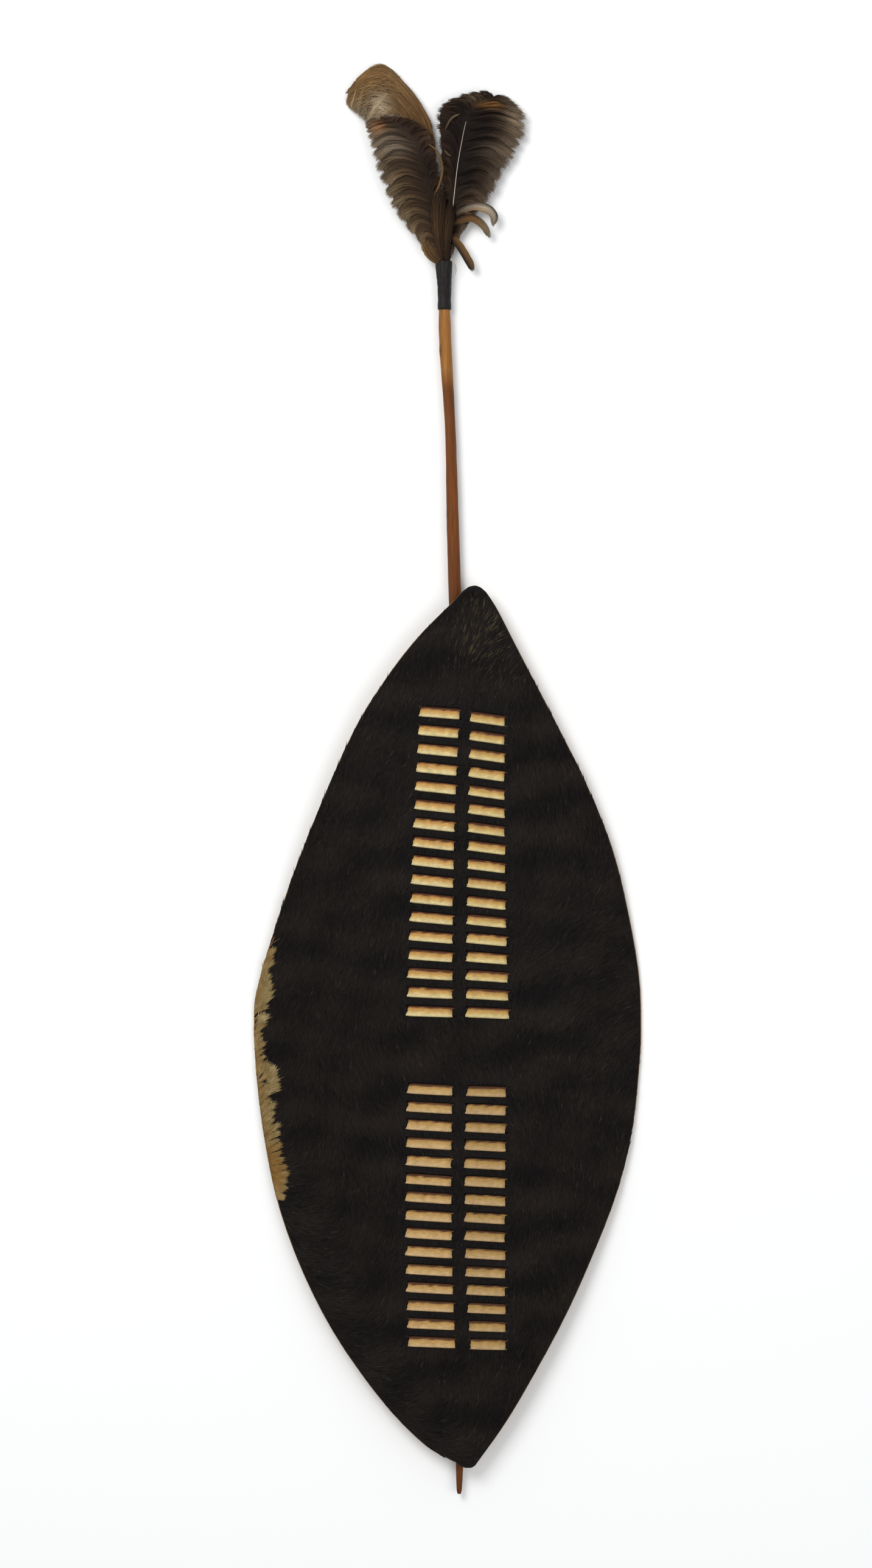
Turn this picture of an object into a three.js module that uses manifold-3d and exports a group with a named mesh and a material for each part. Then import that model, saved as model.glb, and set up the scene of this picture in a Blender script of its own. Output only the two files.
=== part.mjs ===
// A Nguni cowhide shield: a leaf-shaped sheet of hair-on hide, four hide strips woven through rows of
// slits in its face, a tapered stick laced to its back, and three ostrich plumes in a black sleeve
// on the stick's head.
//
// Millimetres. The shield lies on its back on a table: X runs across it, Y along the stick towards
// the plumes, and Z up out of its face. Every part is laid out from the stick's foot (y = 0) and the
// middle of the hide's width (x = 0). At the end the whole shield is moved so that its origin is
// below the middle of its outline, on the table.
import * as THREE from "three";
import { mergeVertices } from "three/addons/utils/BufferGeometryUtils.js";
import Module from "manifold-3d";

const wasm = await Module();
wasm.setup();

// ---- Driving sizes ---------------------------------------------------------------------------

const GAP = 0.3; // clearance kept between separate pieces that touch
const HIDE_THICKNESS = 3.5;
const STRIP_THICKNESS = 1.4;
const LACE_THICKNESS = 2;
const LACE_WIDTH = 5.8;
const STICK_RADIUS = 6.2; // behind the hide, under the laces

// Heights above the table, built up from the laces that the shield lies on.
const STICK_Z = LACE_THICKNESS + GAP + STICK_RADIUS;
const TUCK_Z = STICK_Z + STICK_RADIUS + GAP; // underside of a strip that passes over a lace end
const LACE_END_Z = TUCK_Z + STRIP_THICKNESS + GAP;
const BACK_Z = LACE_END_Z + LACE_THICKNESS + GAP; // back of the hide along its middle
const FACE_Z = BACK_Z + HIDE_THICKNESS;

// ---- Shared geometry helpers -----------------------------------------------------------------

// Value at y of the smooth curve through [y, value] pairs: a cubic between neighbours, with each
// pair's slope taken from the pairs on either side of it.
function follow(pairs, y) {
  const last = pairs.length - 1;
  let i = 0;
  while (i < last - 1 && y > pairs[i + 1][0]) i += 1;
  const slope = (k) => {
    const [ya, va] = pairs[Math.max(k - 1, 0)];
    const [yb, vb] = pairs[Math.min(k + 1, last)];
    return (vb - va) / (yb - ya);
  };
  const [y0, v0] = pairs[i];
  const [y1, v1] = pairs[i + 1];
  const span = y1 - y0;
  const t = THREE.MathUtils.clamp((y - y0) / span, 0, 1);
  const rise = v1 - v0;
  const a = slope(i) * span - rise;
  const b = rise - slope(i + 1) * span;
  return v0 + rise * t + t * (1 - t) * (a * (1 - t) + b * t);
}

// Value at t (0 to 1) of the parabola through [head, middle, foot] values.
function through([head, middle, foot], t) {
  return head * (1 - t) * (1 - 2 * t) + middle * 4 * t * (1 - t) + foot * t * (2 * t - 1);
}

// The geometry with every vertex moved by place(vertex), keeping positions alone.
function reshape(geometry, place) {
  geometry.deleteAttribute("normal");
  geometry.deleteAttribute("uv");
  const position = geometry.getAttribute("position");
  const vertex = new THREE.Vector3();
  for (let i = 0; i < position.count; i += 1) {
    vertex.fromBufferAttribute(position, i);
    const to = place(vertex);
    position.setXYZ(i, to.x, to.y, to.z);
  }
  return geometry;
}

function solidOf(geometry) {
  geometry.deleteAttribute("normal");
  geometry.deleteAttribute("uv");
  const merged = mergeVertices(geometry, 1e-4);
  return new wasm.Manifold(
    new wasm.Mesh({
      numProp: 3,
      vertProperties: merged.getAttribute("position").array,
      triVerts: new Uint32Array(merged.index.array),
    }),
  );
}

function geometryOf(solid) {
  const mesh = solid.getMesh();
  return new THREE.BufferGeometry()
    .setAttribute("position", new THREE.BufferAttribute(mesh.vertProperties, 3))
    .setIndex(new THREE.BufferAttribute(mesh.triVerts, 1));
}

// A section drawn in x and z, extruded along y from yLow to yHigh.
function extrudeAlongY(section, yLow, yHigh) {
  return new THREE.ExtrudeGeometry(section, { depth: yHigh - yLow, bevelEnabled: false })
    .rotateX(Math.PI / 2)
    .translate(0, yHigh, 0);
}

const shield = new THREE.Group();
shield.name = "hide_shield";

function addPiece(name, geometry, finish) {
  const mesh = new THREE.Mesh(geometry, new THREE.MeshStandardMaterial(finish));
  mesh.name = name;
  shield.add(mesh);
}

// ---- Lacing layout ---------------------------------------------------------------------------

// Each strip goes over the face at its rows and behind the hide between them. headY and footY are
// the middles of its first and last rows; left, right and slope are given at the head, middle and
// foot of the strip; tucks lists the rows after which a lace end is tucked behind it.
const UPPER_TUCKS = [6, 11, 15];
const LOWER_TUCKS = [2, 7, 13];
const STRIPS = [
  {
    name: "lacing_upper_left", rows: 17, headY: 823, footY: 509, tucks: UPPER_TUCKS,
    left: [-29, -36.5, -42.5], right: [13, 6.4, 5.5], slope: [-0.075, -0.11, -0.035],
  },
  {
    name: "lacing_upper_right", rows: 17, headY: 816.5, footY: 507.5, tucks: UPPER_TUCKS,
    left: [24.3, 21.5, 20], right: [60, 60.5, 64.5], slope: [-0.14, -0.125, -0.045],
  },
  {
    name: "lacing_lower_left", rows: 15, headY: 427, footY: 161.5, tucks: LOWER_TUCKS,
    left: [-41.5, -43.5, -41], right: [5, 4.3, 7.7], slope: [-0.055, -0.065, -0.042],
  },
  {
    name: "lacing_lower_right", rows: 15, headY: 425, footY: 159, tucks: LOWER_TUCKS,
    left: [20.5, 18.3, 23.7], right: [61.2, 60.5, 61], slope: [-0.03, -0.06, -0.027],
  },
];
const SLIT_REACH = 4.9; // from a row's middle to the middle of the slits above and below it
const SLIT_WIDTH = 2.2;
const SLIT_OVERRUN = [1.5, 3]; // how far a slit runs past the strip's left and right edges
const TAIL = 22; // length of strip left behind the hide at each end

const pitchOf = (strip) => (strip.headY - strip.footY) / (strip.rows - 1);

// The place on the shield of a point u (0 to 1) across a strip and s down it from its first row.
function onStrip(strip, u, s, z) {
  const t = s / (strip.headY - strip.footY);
  const left = through(strip.left, t);
  const right = through(strip.right, t);
  const x = left + (right - left) * u;
  const y = strip.headY - s + through(strip.slope, t) * (x - (left + right) / 2);
  return new THREE.Vector3(x, y, z);
}

// ---- Hide ------------------------------------------------------------------------------------

// The outline: points up the left and the right edge of the leaf, with rounded tips between them.
const LEFT_EDGE = [
  [8, 36], [-23, 52.5], [-67, 97], [-116, 164.5], [-151.5, 231.5], [-177, 299], [-192, 366],
  [-201, 433], [-204.5, 500], [-197.5, 545], [-161.5, 657], [-105, 792], [-65, 859], [-30, 904],
  [8, 942],
];
const RIGHT_EDGE = [
  [46, 942], [55.5, 926], [78.5, 881], [113.5, 814], [147, 747], [174, 680], [191, 612.5],
  [202.5, 545], [204.5, 490], [203, 455], [196, 388], [180, 321], [154, 254], [123.5, 187],
  [87, 120], [60, 75], [32, 36],
];
const HEAD_TIP = [29, 957];
const FOOT_TIP = [20, 29];
const LEVEL_HALF_WIDTH = 66; // the middle of the hide lies level, and its sides curve down from here
const HALF_WIDTH = 205; // where the back of the hide comes down to the table
const SIDE_FACETS = 6;
const SPARE = 5; // how far the blank sheet runs past the outline that is cut from it

// How far the sides have curved down at x.
function dishAt(x) {
  const out = Math.max(Math.abs(x) - LEVEL_HALF_WIDTH, 0) / (HALF_WIDTH - LEVEL_HALF_WIDTH);
  return BACK_Z * out * out;
}

function hideOutline() {
  const vectors = (points) => points.map(([x, y]) => new THREE.Vector2(x, y));
  const outline = new THREE.Shape();
  outline.moveTo(...LEFT_EDGE[0]);
  outline.splineThru(vectors(LEFT_EDGE.slice(1)));
  outline.quadraticCurveTo(HEAD_TIP[0] - 9, HEAD_TIP[1] + 1, ...HEAD_TIP);
  outline.quadraticCurveTo(HEAD_TIP[0] + 9, HEAD_TIP[1] - 1, ...RIGHT_EDGE[0]);
  outline.splineThru(vectors(RIGHT_EDGE.slice(1)));
  outline.quadraticCurveTo(FOOT_TIP[0] + 8, FOOT_TIP[1] - 1, ...FOOT_TIP);
  outline.quadraticCurveTo(FOOT_TIP[0] - 6, FOOT_TIP[1] + 1, ...LEFT_EDGE[0]);
  return outline;
}

// The dished section of the hide: level in the middle, each side a parabola down to the table.
function hideSection() {
  const outX = [];
  for (let i = 0; i <= SIDE_FACETS; i += 1) {
    const width = HALF_WIDTH + SPARE - LEVEL_HALF_WIDTH;
    outX.push(LEVEL_HALF_WIDTH + (width * i) / SIDE_FACETS);
  }
  const acrossX = [...outX.map((x) => -x).reverse(), ...outX];
  const back = acrossX.map((x) => new THREE.Vector2(x, BACK_Z - dishAt(x)));
  const face = acrossX.map((x) => new THREE.Vector2(x, FACE_Z - dishAt(x))).reverse();
  return new THREE.Shape([...back, ...face]);
}

function slitCutter(strip, s) {
  const width = strip.right[1] - strip.left[1];
  const before = -SLIT_OVERRUN[0] / width;
  const after = 1 + SLIT_OVERRUN[1] / width;
  const box = new THREE.BoxGeometry(after - before, SLIT_WIDTH, 4 * HIDE_THICKNESS);
  const middle = (before + after) / 2;
  return solidOf(
    reshape(box, (v) => onStrip(strip, middle + v.x, s - v.y, (BACK_Z + FACE_Z) / 2 + v.z)),
  );
}

function hideGeometry() {
  const sheet = solidOf(extrudeAlongY(hideSection(), FOOT_TIP[1] - SPARE, HEAD_TIP[1] + SPARE));
  const outline = new THREE.ExtrudeGeometry(hideOutline(), {
    depth: 3 * FACE_Z,
    bevelEnabled: false,
    curveSegments: 3,
  }).translate(0, 0, -FACE_Z);
  const slits = STRIPS.flatMap((strip) => {
    const cutters = [];
    for (let row = 0; row < strip.rows; row += 1) {
      const middle = row * pitchOf(strip);
      cutters.push(slitCutter(strip, middle - SLIT_REACH), slitCutter(strip, middle + SLIT_REACH));
    }
    return cutters;
  });
  return geometryOf(sheet.intersect(solidOf(outline)).subtract(wasm.Manifold.union(slits)));
}

addPiece("hide", hideGeometry(), { color: 0x1b1714, roughness: 0.75, metalness: 0 });

// ---- Lacing strips ---------------------------------------------------------------------------

const EDGE_ROUND = 0.8; // chamfer where a strip turns down into a slit

// The strip's wave, seen from its edge: s along it and z up. Its upper side runs down the strip,
// over the face at each row, and its lower side comes back.
function stripWave(strip) {
  const half = STRIP_THICKNESS / 2;
  const faceMiddle = FACE_Z + GAP + half;
  const backMiddle = BACK_Z - GAP - half;
  const levelAfter = (row) => (strip.tucks.includes(row) ? TUCK_Z + half : backMiddle);
  const upper = [];
  const lower = [];
  const last = strip.rows - 1;
  upper.push([-SLIT_REACH - TAIL, backMiddle + half]);
  lower.push([-SLIT_REACH - TAIL, backMiddle - half]);
  for (let row = 0; row <= last; row += 1) {
    const rise = row * pitchOf(strip) - SLIT_REACH;
    const fall = row * pitchOf(strip) + SLIT_REACH;
    const before = levelAfter(row);
    const after = levelAfter(row + 1);
    upper.push([rise - half, before + half], [rise - half, faceMiddle + half - EDGE_ROUND]);
    upper.push([rise - half + EDGE_ROUND, faceMiddle + half]);
    upper.push([fall + half - EDGE_ROUND, faceMiddle + half]);
    upper.push([fall + half, faceMiddle + half - EDGE_ROUND], [fall + half, after + half]);
    lower.push([rise + half, before - half], [rise + half, faceMiddle - half]);
    lower.push([fall - half, faceMiddle - half], [fall - half, after - half]);
  }
  const end = last * pitchOf(strip) + SLIT_REACH + TAIL;
  upper.push([end, backMiddle + half]);
  lower.push([end, backMiddle - half]);
  return new THREE.Shape([...upper, ...lower.reverse()].map(([s, z]) => new THREE.Vector2(s, z)));
}

function stripGeometry(strip) {
  const wave = new THREE.ExtrudeGeometry(stripWave(strip), { depth: 1, bevelEnabled: false });
  return reshape(wave, (v) => onStrip(strip, 1 - v.z, v.x, v.y));
}

for (const strip of STRIPS) {
  addPiece(strip.name, stripGeometry(strip), { color: 0xb89c6c, roughness: 0.7, metalness: 0 });
}

// ---- Stick -----------------------------------------------------------------------------------

const STICK_HEAD_Y = 1286;
// Sideways bends of the stick, and its radius, from its whittled foot to its head.
const STICK_BENDS = [
  [0, 12.2], [100, 13.4], [190, 14], [304, 11.4], [400, 11.9], [539, 12.7], [617, 13.2],
  [715, 14.7], [830, 11.8], [957, 7.4], [1060, 4.6], [1125, 2.8], [1190, -1.2], [1225, -3],
  [1300, -3.4],
];
const STICK_RADII = [
  [0, 2.3], [6, 3], [28, 3.9], [60, 4.6], [130, 5.6], [190, STICK_RADIUS], [400, STICK_RADIUS],
  [740, STICK_RADIUS], [850, 6.3], [957, 6.7], [1010, 6.5], [1060, 6.1], [1110, 5.6], [1150, 5.7],
  [1185, 6.3], [1236, 6.4], [1248, 5.7], [1262, 5.4], [STICK_HEAD_Y, 5.2],
];
const STICK_SIDES = 12;

const stickX = (y) => follow(STICK_BENDS, y);

// Bends a piece that was turned about the Y axis along the stick.
function bendWithStick(geometry) {
  return reshape(geometry, (v) => new THREE.Vector3(v.x + stickX(v.y), v.y, v.z + STICK_Z));
}

function stickGeometry() {
  const stations = [...STICK_RADII, ...STICK_BENDS].map(([y]) => y).filter((y) => y <= STICK_HEAD_Y);
  const rising = [...new Set(stations)].sort((a, b) => a - b);
  const profile = rising.map((y) => new THREE.Vector2(follow(STICK_RADII, y), y));
  const closed = [new THREE.Vector2(0, 0), ...profile, new THREE.Vector2(0, STICK_HEAD_Y)];
  return bendWithStick(new THREE.LatheGeometry(closed, STICK_SIDES));
}

addPiece("stick", stickGeometry(), { color: 0x6f4526, roughness: 0.55, metalness: 0 });

// ---- Stick laces -----------------------------------------------------------------------------

const LACE_NECK = 5.8; // half width of the neck, where a lace rises between the two strips
const LACE_TUCK = 9; // length of lace tucked behind each strip
const LOOP_SIDES = 12; // of the loop round the stick, whose lowest side lies level

// Corners of the loop whose sides touch a circle of that radius round the stick, from its upper
// left round below the stick to its upper right.
function loopCorners(radius) {
  const side = (2 * Math.PI) / LOOP_SIDES;
  const outer = radius / Math.cos(side / 2);
  const corners = [];
  for (let angle = 0.75 * Math.PI; angle < 2.26 * Math.PI; angle += side) {
    corners.push(new THREE.Vector2(outer * Math.cos(angle), STICK_Z + outer * Math.sin(angle)));
  }
  return corners;
}

function laceSection() {
  const reach = LACE_NECK + LACE_TUCK;
  const inner = LACE_NECK - LACE_THICKNESS;
  const top = LACE_END_Z + LACE_THICKNESS;
  const point = (x, z) => new THREE.Vector2(x, z);
  return new THREE.Shape([
    point(-reach, top), point(-reach, LACE_END_Z), point(-LACE_NECK, LACE_END_Z),
    ...loopCorners(STICK_RADIUS + GAP + LACE_THICKNESS),
    point(LACE_NECK, LACE_END_Z), point(reach, LACE_END_Z), point(reach, top), point(inner, top),
    ...loopCorners(STICK_RADIUS + GAP).reverse(),
    point(-inner, top),
  ]);
}

// A lace after the given row of the left and right strips. It runs level with the slits behind each
// strip, and straight from one strip's inner edge to the other's.
function laceGeometry(left, right, row) {
  const at = (strip, u) => onStrip(strip, u, (row - 0.5) * pitchOf(strip), 0);
  const ends = [at(left, 0), at(left, 1), at(right, 0), at(right, 1)];
  const middle = (ends[1].y + ends[2].y) / 2;
  const x = stickX(middle);
  const level = (from, to, v) => from.y + ((to.y - from.y) * (x + v.x - from.x)) / (to.x - from.x);
  return reshape(extrudeAlongY(laceSection(), -LACE_WIDTH / 2, LACE_WIDTH / 2), (v) => {
    const first = v.x < -LACE_NECK ? 0 : v.x > LACE_NECK ? 2 : 1;
    return new THREE.Vector3(x + v.x, v.y + level(ends[first], ends[first + 1], v), v.z);
  });
}

const LACES = [
  ...UPPER_TUCKS.map((row) => [STRIPS[0], STRIPS[1], row]),
  ...LOWER_TUCKS.map((row) => [STRIPS[2], STRIPS[3], row]),
];
LACES.forEach(([left, right, row], i) => {
  addPiece(`stick_lace_${i + 1}`, laceGeometry(left, right, row), {
    color: 0xa98a5c, roughness: 0.8, metalness: 0,
  });
});

// ---- Sleeve ----------------------------------------------------------------------------------

const SLEEVE_FOOT_Y = 1248;
const SLEEVE_HEAD_Y = 1299;
const SLEEVE_BORE = 6;
const SLEEVE_OUTSIDE = [
  [SLEEVE_FOOT_Y, 6.9], [1252, 7.2], [1257, 6.8], [1268, 7], [1280, 7.5], [1290, 7.9],
  [SLEEVE_HEAD_Y, 8.1],
];
const SLEEVE_SIDES = 16;

function sleeveGeometry() {
  const outside = SLEEVE_OUTSIDE.map(([y, radius]) => new THREE.Vector2(radius, y));
  const bore = [SLEEVE_HEAD_Y, SLEEVE_FOOT_Y].map((y) => new THREE.Vector2(SLEEVE_BORE, y));
  return bendWithStick(new THREE.LatheGeometry([...outside, ...bore, outside[0]], SLEEVE_SIDES));
}

addPiece("binding_sleeve", sleeveGeometry(), { color: 0x2a2624, roughness: 0.6, metalness: 0 });

// ---- Plumes ----------------------------------------------------------------------------------

// A plume is a quill, rooted in the sleeve, with a vane of soft barbs on either side. Each row of its
// vane gives the tip of the barbs on the left, the point of the quill that they grow from, the tip of
// those on the right, and then the height of the vane's middle and half its thickness.
const ROOT_Y = STICK_HEAD_Y + 4;
const PLUMES = [
  {
    name: "plume_left_tall", color: 0x85694a, stations: 36,
    vane: [
      [[-8.1, ROOT_Y], [-5.9, ROOT_Y], [-3.7, ROOT_Y], 7, 2.2],
      [[-8.7, 1300], [-6.3, 1300], [-4.2, 1300], 6.8, 2.2],
      [[-28, 1326], [-12.5, 1330], [-6.5, 1331], 5.6, 4],
      [[-46, 1352], [-17.6, 1358], [-9, 1362], 5.6, 4.6],
      [[-58, 1382], [-23, 1398], [-11.5, 1404], 5.8, 4.8],
      [[-68, 1410], [-29, 1431], [-14.5, 1438], 5.8, 5],
      [[-77, 1430], [-37, 1457], [-26, 1464], 5.8, 5],
      [[-84, 1441], [-51, 1481], [-44, 1487], 6, 5],
      [[-92, 1450], [-69, 1495], [-67, 1507], 6, 4.8],
      [[-100, 1457], [-88, 1493], [-88, 1499], 6, 4.2],
      [[-107, 1465], [-104, 1478], [-108, 1476], 6, 3],
    ],
  },
  {
    name: "plume_left_short", color: 0x4c3a2a, stations: 32,
    vane: [
      [[-6.1, ROOT_Y], [-3.9, ROOT_Y], [-1.7, ROOT_Y], 11.3, 2.2],
      [[-6.6, 1300], [-4.2, 1300], [-2, 1300], 11.6, 2.3],
      [[-29, 1317], [-7.5, 1318], [-3, 1319], 14.5, 3.6],
      [[-48, 1339], [-11, 1338], [-4, 1341], 16, 4.4],
      [[-61, 1358], [-15, 1358], [-5, 1363], 17, 5],
      [[-69, 1379], [-20, 1380], [-7, 1386], 17.4, 5.2],
      [[-77, 1401], [-26, 1402], [-11, 1410], 17.4, 5.2],
      [[-82, 1420], [-34, 1422], [-15, 1430], 17.4, 5.2],
      [[-85, 1434], [-45, 1437], [-30, 1444], 17, 4.8],
      [[-86.5, 1442], [-58, 1445], [-50, 1451], 16.4, 4],
      [[-85, 1449], [-72, 1447], [-70, 1453], 15.6, 2.8],
    ],
  },
  {
    name: "plume_right", color: 0x2b2019, stations: 36,
    vane: [
      [[-3.1, ROOT_Y], [-0.9, ROOT_Y], [1.3, ROOT_Y], 7, 2.2],
      [[-2.5, 1300], [-0.4, 1300], [2, 1300], 7.2, 2.2],
      [[-2.6, 1327], [2.2, 1325], [14, 1327], 9.2, 4.2],
      [[-4, 1351], [4.6, 1347], [32, 1349], 10.4, 5.6],
      [[-6, 1378], [7.4, 1372], [47, 1369], 11, 6.6],
      [[-8.5, 1410], [10.4, 1398], [61, 1393], 11, 7],
      [[-11, 1439], [14.6, 1422], [74, 1416], 11, 7],
      [[-12, 1456], [19, 1443], [83, 1436], 11, 6.8],
      [[-4, 1466], [25, 1458], [81, 1455], 11, 6.4],
      [[20, 1476], [36, 1466], [68, 1468], 11, 5.4],
      [[42, 1479], [50, 1472], [55, 1476], 11, 4],
    ],
  },
];
const PLUME_SIDES = 10;
const LOCK_STATIONS = 4; // stations along the quill to each lock that the barbs hang in
const FRINGE = 0.14; // share of its reach that a lock loses before the next one starts
// Loose locks that curl out of the right plume near its root: centre lines, with the radius at the
// root of each.
const LOCKS = [
  {
    radius: 4.4,
    line: [[9, 1350, 12], [27, 1355, 13], [41, 1354, 13], [48.5, 1347, 12.6], [48, 1336, 12]],
  },
  { radius: 4, line: [[6, 1340, 11], [24, 1344, 11.5], [37, 1337, 11], [45, 1323, 10]] },
  { radius: 3.6, line: [[4, 1326, 10.5], [14, 1314, 11], [22, 1301, 10.6], [28, 1289, 10]] },
];
const LOCK_TAPER = 0.45; // radius at a lock's tip over that at its root
const LOCK_FLATNESS = 0.6; // height of a lock's section over its width

function vaneGeometry({ vane, stations }) {
  const rows = vane.map((row) => row.flat());
  const stock = new THREE.CylinderGeometry(1, 1, 1, PLUME_SIDES, stations);
  return reshape(stock, (v) => {
    const station = Math.round((v.y + 0.5) * stations);
    const along = (station / stations) * (rows.length - 1);
    const column = (k) => follow(rows.map((row, i) => [i, row[k]]), along);
    const [tipX, tipY] = v.x < 0 ? [column(0), column(1)] : [column(4), column(5)];
    const worn = station > LOCK_STATIONS ? (FRINGE * (station % LOCK_STATIONS)) / LOCK_STATIONS : 0;
    const share = Math.abs(v.x) * (1 - worn);
    const x = THREE.MathUtils.lerp(column(2), tipX, share);
    const y = THREE.MathUtils.lerp(column(3), tipY, share);
    return new THREE.Vector3(x, y, column(6) + v.z * column(7));
  });
}

function lockGeometry({ radius, line }) {
  const curve = new THREE.CatmullRomCurve3(line.map((point) => new THREE.Vector3(...point)));
  const stock = new THREE.CylinderGeometry(LOCK_TAPER, 1, 1, 6, 7);
  const up = new THREE.Vector3(0, 0, 1);
  return reshape(stock, (v) => {
    const t = v.y + 0.5;
    const side = curve.getTangent(t).cross(up).normalize();
    const place = curve.getPoint(t).addScaledVector(side, v.x * radius);
    return place.addScaledVector(up, v.z * radius * LOCK_FLATNESS);
  });
}

for (const plume of PLUMES) {
  let solid = solidOf(vaneGeometry(plume));
  if (plume.name === "plume_right") {
    solid = LOCKS.reduce((joined, lock) => joined.add(solidOf(lockGeometry(lock))), solid);
  }
  addPiece(plume.name, geometryOf(solid), { color: plume.color, roughness: 0.95, metalness: 0 });
}

// ---- Frame -----------------------------------------------------------------------------------

const box = new THREE.Box3().setFromObject(shield);
shield.position.set(-(box.min.x + box.max.x) / 2, -(box.min.y + box.max.y) / 2, 0);

export default shield;
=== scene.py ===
"""A Nguni cowhide shield lying on its back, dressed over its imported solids.

Sizes are in millimetres from the stick's foot, as they are laid out on the bench: x across the
shield, y up the stick and z out of the hide's face. add_piece() turns them into the frame's metres.
"""

import bpy
import numpy as np
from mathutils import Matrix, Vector


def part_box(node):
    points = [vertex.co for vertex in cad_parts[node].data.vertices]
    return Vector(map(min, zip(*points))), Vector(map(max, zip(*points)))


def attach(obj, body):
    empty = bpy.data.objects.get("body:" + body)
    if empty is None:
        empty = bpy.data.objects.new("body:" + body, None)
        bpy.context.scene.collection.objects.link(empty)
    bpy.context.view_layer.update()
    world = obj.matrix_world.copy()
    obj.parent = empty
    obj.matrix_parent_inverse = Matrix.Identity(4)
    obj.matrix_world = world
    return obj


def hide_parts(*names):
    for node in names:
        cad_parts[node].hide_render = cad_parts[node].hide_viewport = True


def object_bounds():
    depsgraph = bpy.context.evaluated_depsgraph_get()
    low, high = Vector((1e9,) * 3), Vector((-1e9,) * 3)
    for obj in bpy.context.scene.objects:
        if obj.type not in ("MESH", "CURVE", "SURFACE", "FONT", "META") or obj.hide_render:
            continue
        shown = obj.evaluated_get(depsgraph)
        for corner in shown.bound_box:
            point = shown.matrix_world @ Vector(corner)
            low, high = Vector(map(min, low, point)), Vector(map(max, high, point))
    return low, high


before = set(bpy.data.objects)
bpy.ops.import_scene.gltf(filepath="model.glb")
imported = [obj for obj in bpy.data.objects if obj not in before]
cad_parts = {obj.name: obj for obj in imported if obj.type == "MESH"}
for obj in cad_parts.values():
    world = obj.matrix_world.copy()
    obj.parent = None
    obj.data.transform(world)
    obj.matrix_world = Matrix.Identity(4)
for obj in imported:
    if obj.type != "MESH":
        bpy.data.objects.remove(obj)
cad_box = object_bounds()


# ---- Floor, light and camera ------------------------------------------------------------------
# The shield lies on a plain pale floor under one broad soft light at its upper left and a pale room.
# The camera hangs level above it with a long lens, so that the outline is seen without distortion.


def linear(hex_code, alpha=1.0):
    """The linear colour of an sRGB hex value such as "#c8b080"."""
    srgb = np.array([int(hex_code[i : i + 2], 16) for i in (1, 3, 5)]) / 255
    rgb = np.where(srgb <= 0.04045, srgb / 12.92, ((srgb + 0.055) / 1.055) ** 2.4)
    return (*rgb, alpha)


def add_node(tree, kind, inputs=None, **settings):
    """Adds a shader node; an input is given a value, or another node's socket to be linked from."""
    new = tree.nodes.new(kind)
    for name, value in settings.items():
        setattr(new, name, value)
    for name, value in (inputs or {}).items():
        if isinstance(value, bpy.types.NodeSocket):
            tree.links.new(value, new.inputs[name])
        else:
            new.inputs[name].default_value = value
    return new


def start_material(name, **shader_inputs):
    """A material with an empty tree but for its shader and output. Returns it, tree and shader."""
    material = bpy.data.materials.new(name)
    material.use_nodes = True
    tree = material.node_tree
    tree.nodes.clear()
    shader = add_node(tree, "ShaderNodeBsdfPrincipled", shader_inputs)
    add_node(tree, "ShaderNodeOutputMaterial", {"Surface": shader.outputs["BSDF"]})
    return material, tree, shader


def make_studio():
    scene = bpy.context.scene
    scene.view_settings.view_transform = "Standard"

    world = bpy.data.worlds.new("pale_room")
    world.use_nodes = True
    world.node_tree.nodes["Background"].inputs["Color"].default_value = linear("#f4f6fa")
    world.node_tree.nodes["Background"].inputs["Strength"].default_value = 0.62
    scene.world = world

    floor_mesh = bpy.data.meshes.new("floor")
    half = 6.0
    low = -0.0004  # just clear of the laces' undersides
    corners = [(-half, -half, low), (half, -half, low), (half, half, low), (-half, half, low)]
    floor_mesh.from_pydata(corners, [], [(0, 1, 2, 3)])
    floor = bpy.data.objects.new("floor", floor_mesh)
    scene.collection.objects.link(floor)
    # Matt white paint: rough, with next to no gloss.
    paint, _, _ = start_material(
        "matt_white_paint",
        **{"Base Color": linear("#f5f5f3"), "Roughness": 0.9, "Specular IOR Level": 0.1},
    )
    floor_mesh.materials.append(paint)

    def add_area(name, place, aim, size, watts):
        light = bpy.data.lights.new(name, "AREA")
        light.size = size
        light.energy = watts
        lamp = bpy.data.objects.new(name, light)
        lamp.location = place
        lamp.rotation_euler = (Vector(aim) - Vector(place)).to_track_quat("-Z", "Y").to_euler()
        scene.collection.objects.link(lamp)

    add_area("softbox", (-1.3, 1.5, 2.6), (0, 0.05, 0), 1.6, 66)
    add_area("fill", (1.6, -0.8, 2.6), (0, 0, 0), 2.2, 22)

    distance = 4.2
    frame_height = 1.6486
    camera_data = bpy.data.cameras.new("camera")
    camera_data.sensor_fit = "VERTICAL"
    camera_data.sensor_height = 24
    camera_data.lens = 24 * distance / frame_height
    camera_data.clip_end = 50
    camera = bpy.data.objects.new("camera", camera_data)
    camera.location = (-0.0122, -0.005, distance + 0.02)
    scene.collection.objects.link(camera)
    scene.camera = camera


make_studio()


# ---- Hide -------------------------------------------------------------------------------------
# One sheet of dried cowhide, cut to a leaf with a knife, its hair left on the face and its back
# scraped to bare skin. The slits for the lacing are cut in pairs. The sides curl back a little.

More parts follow.
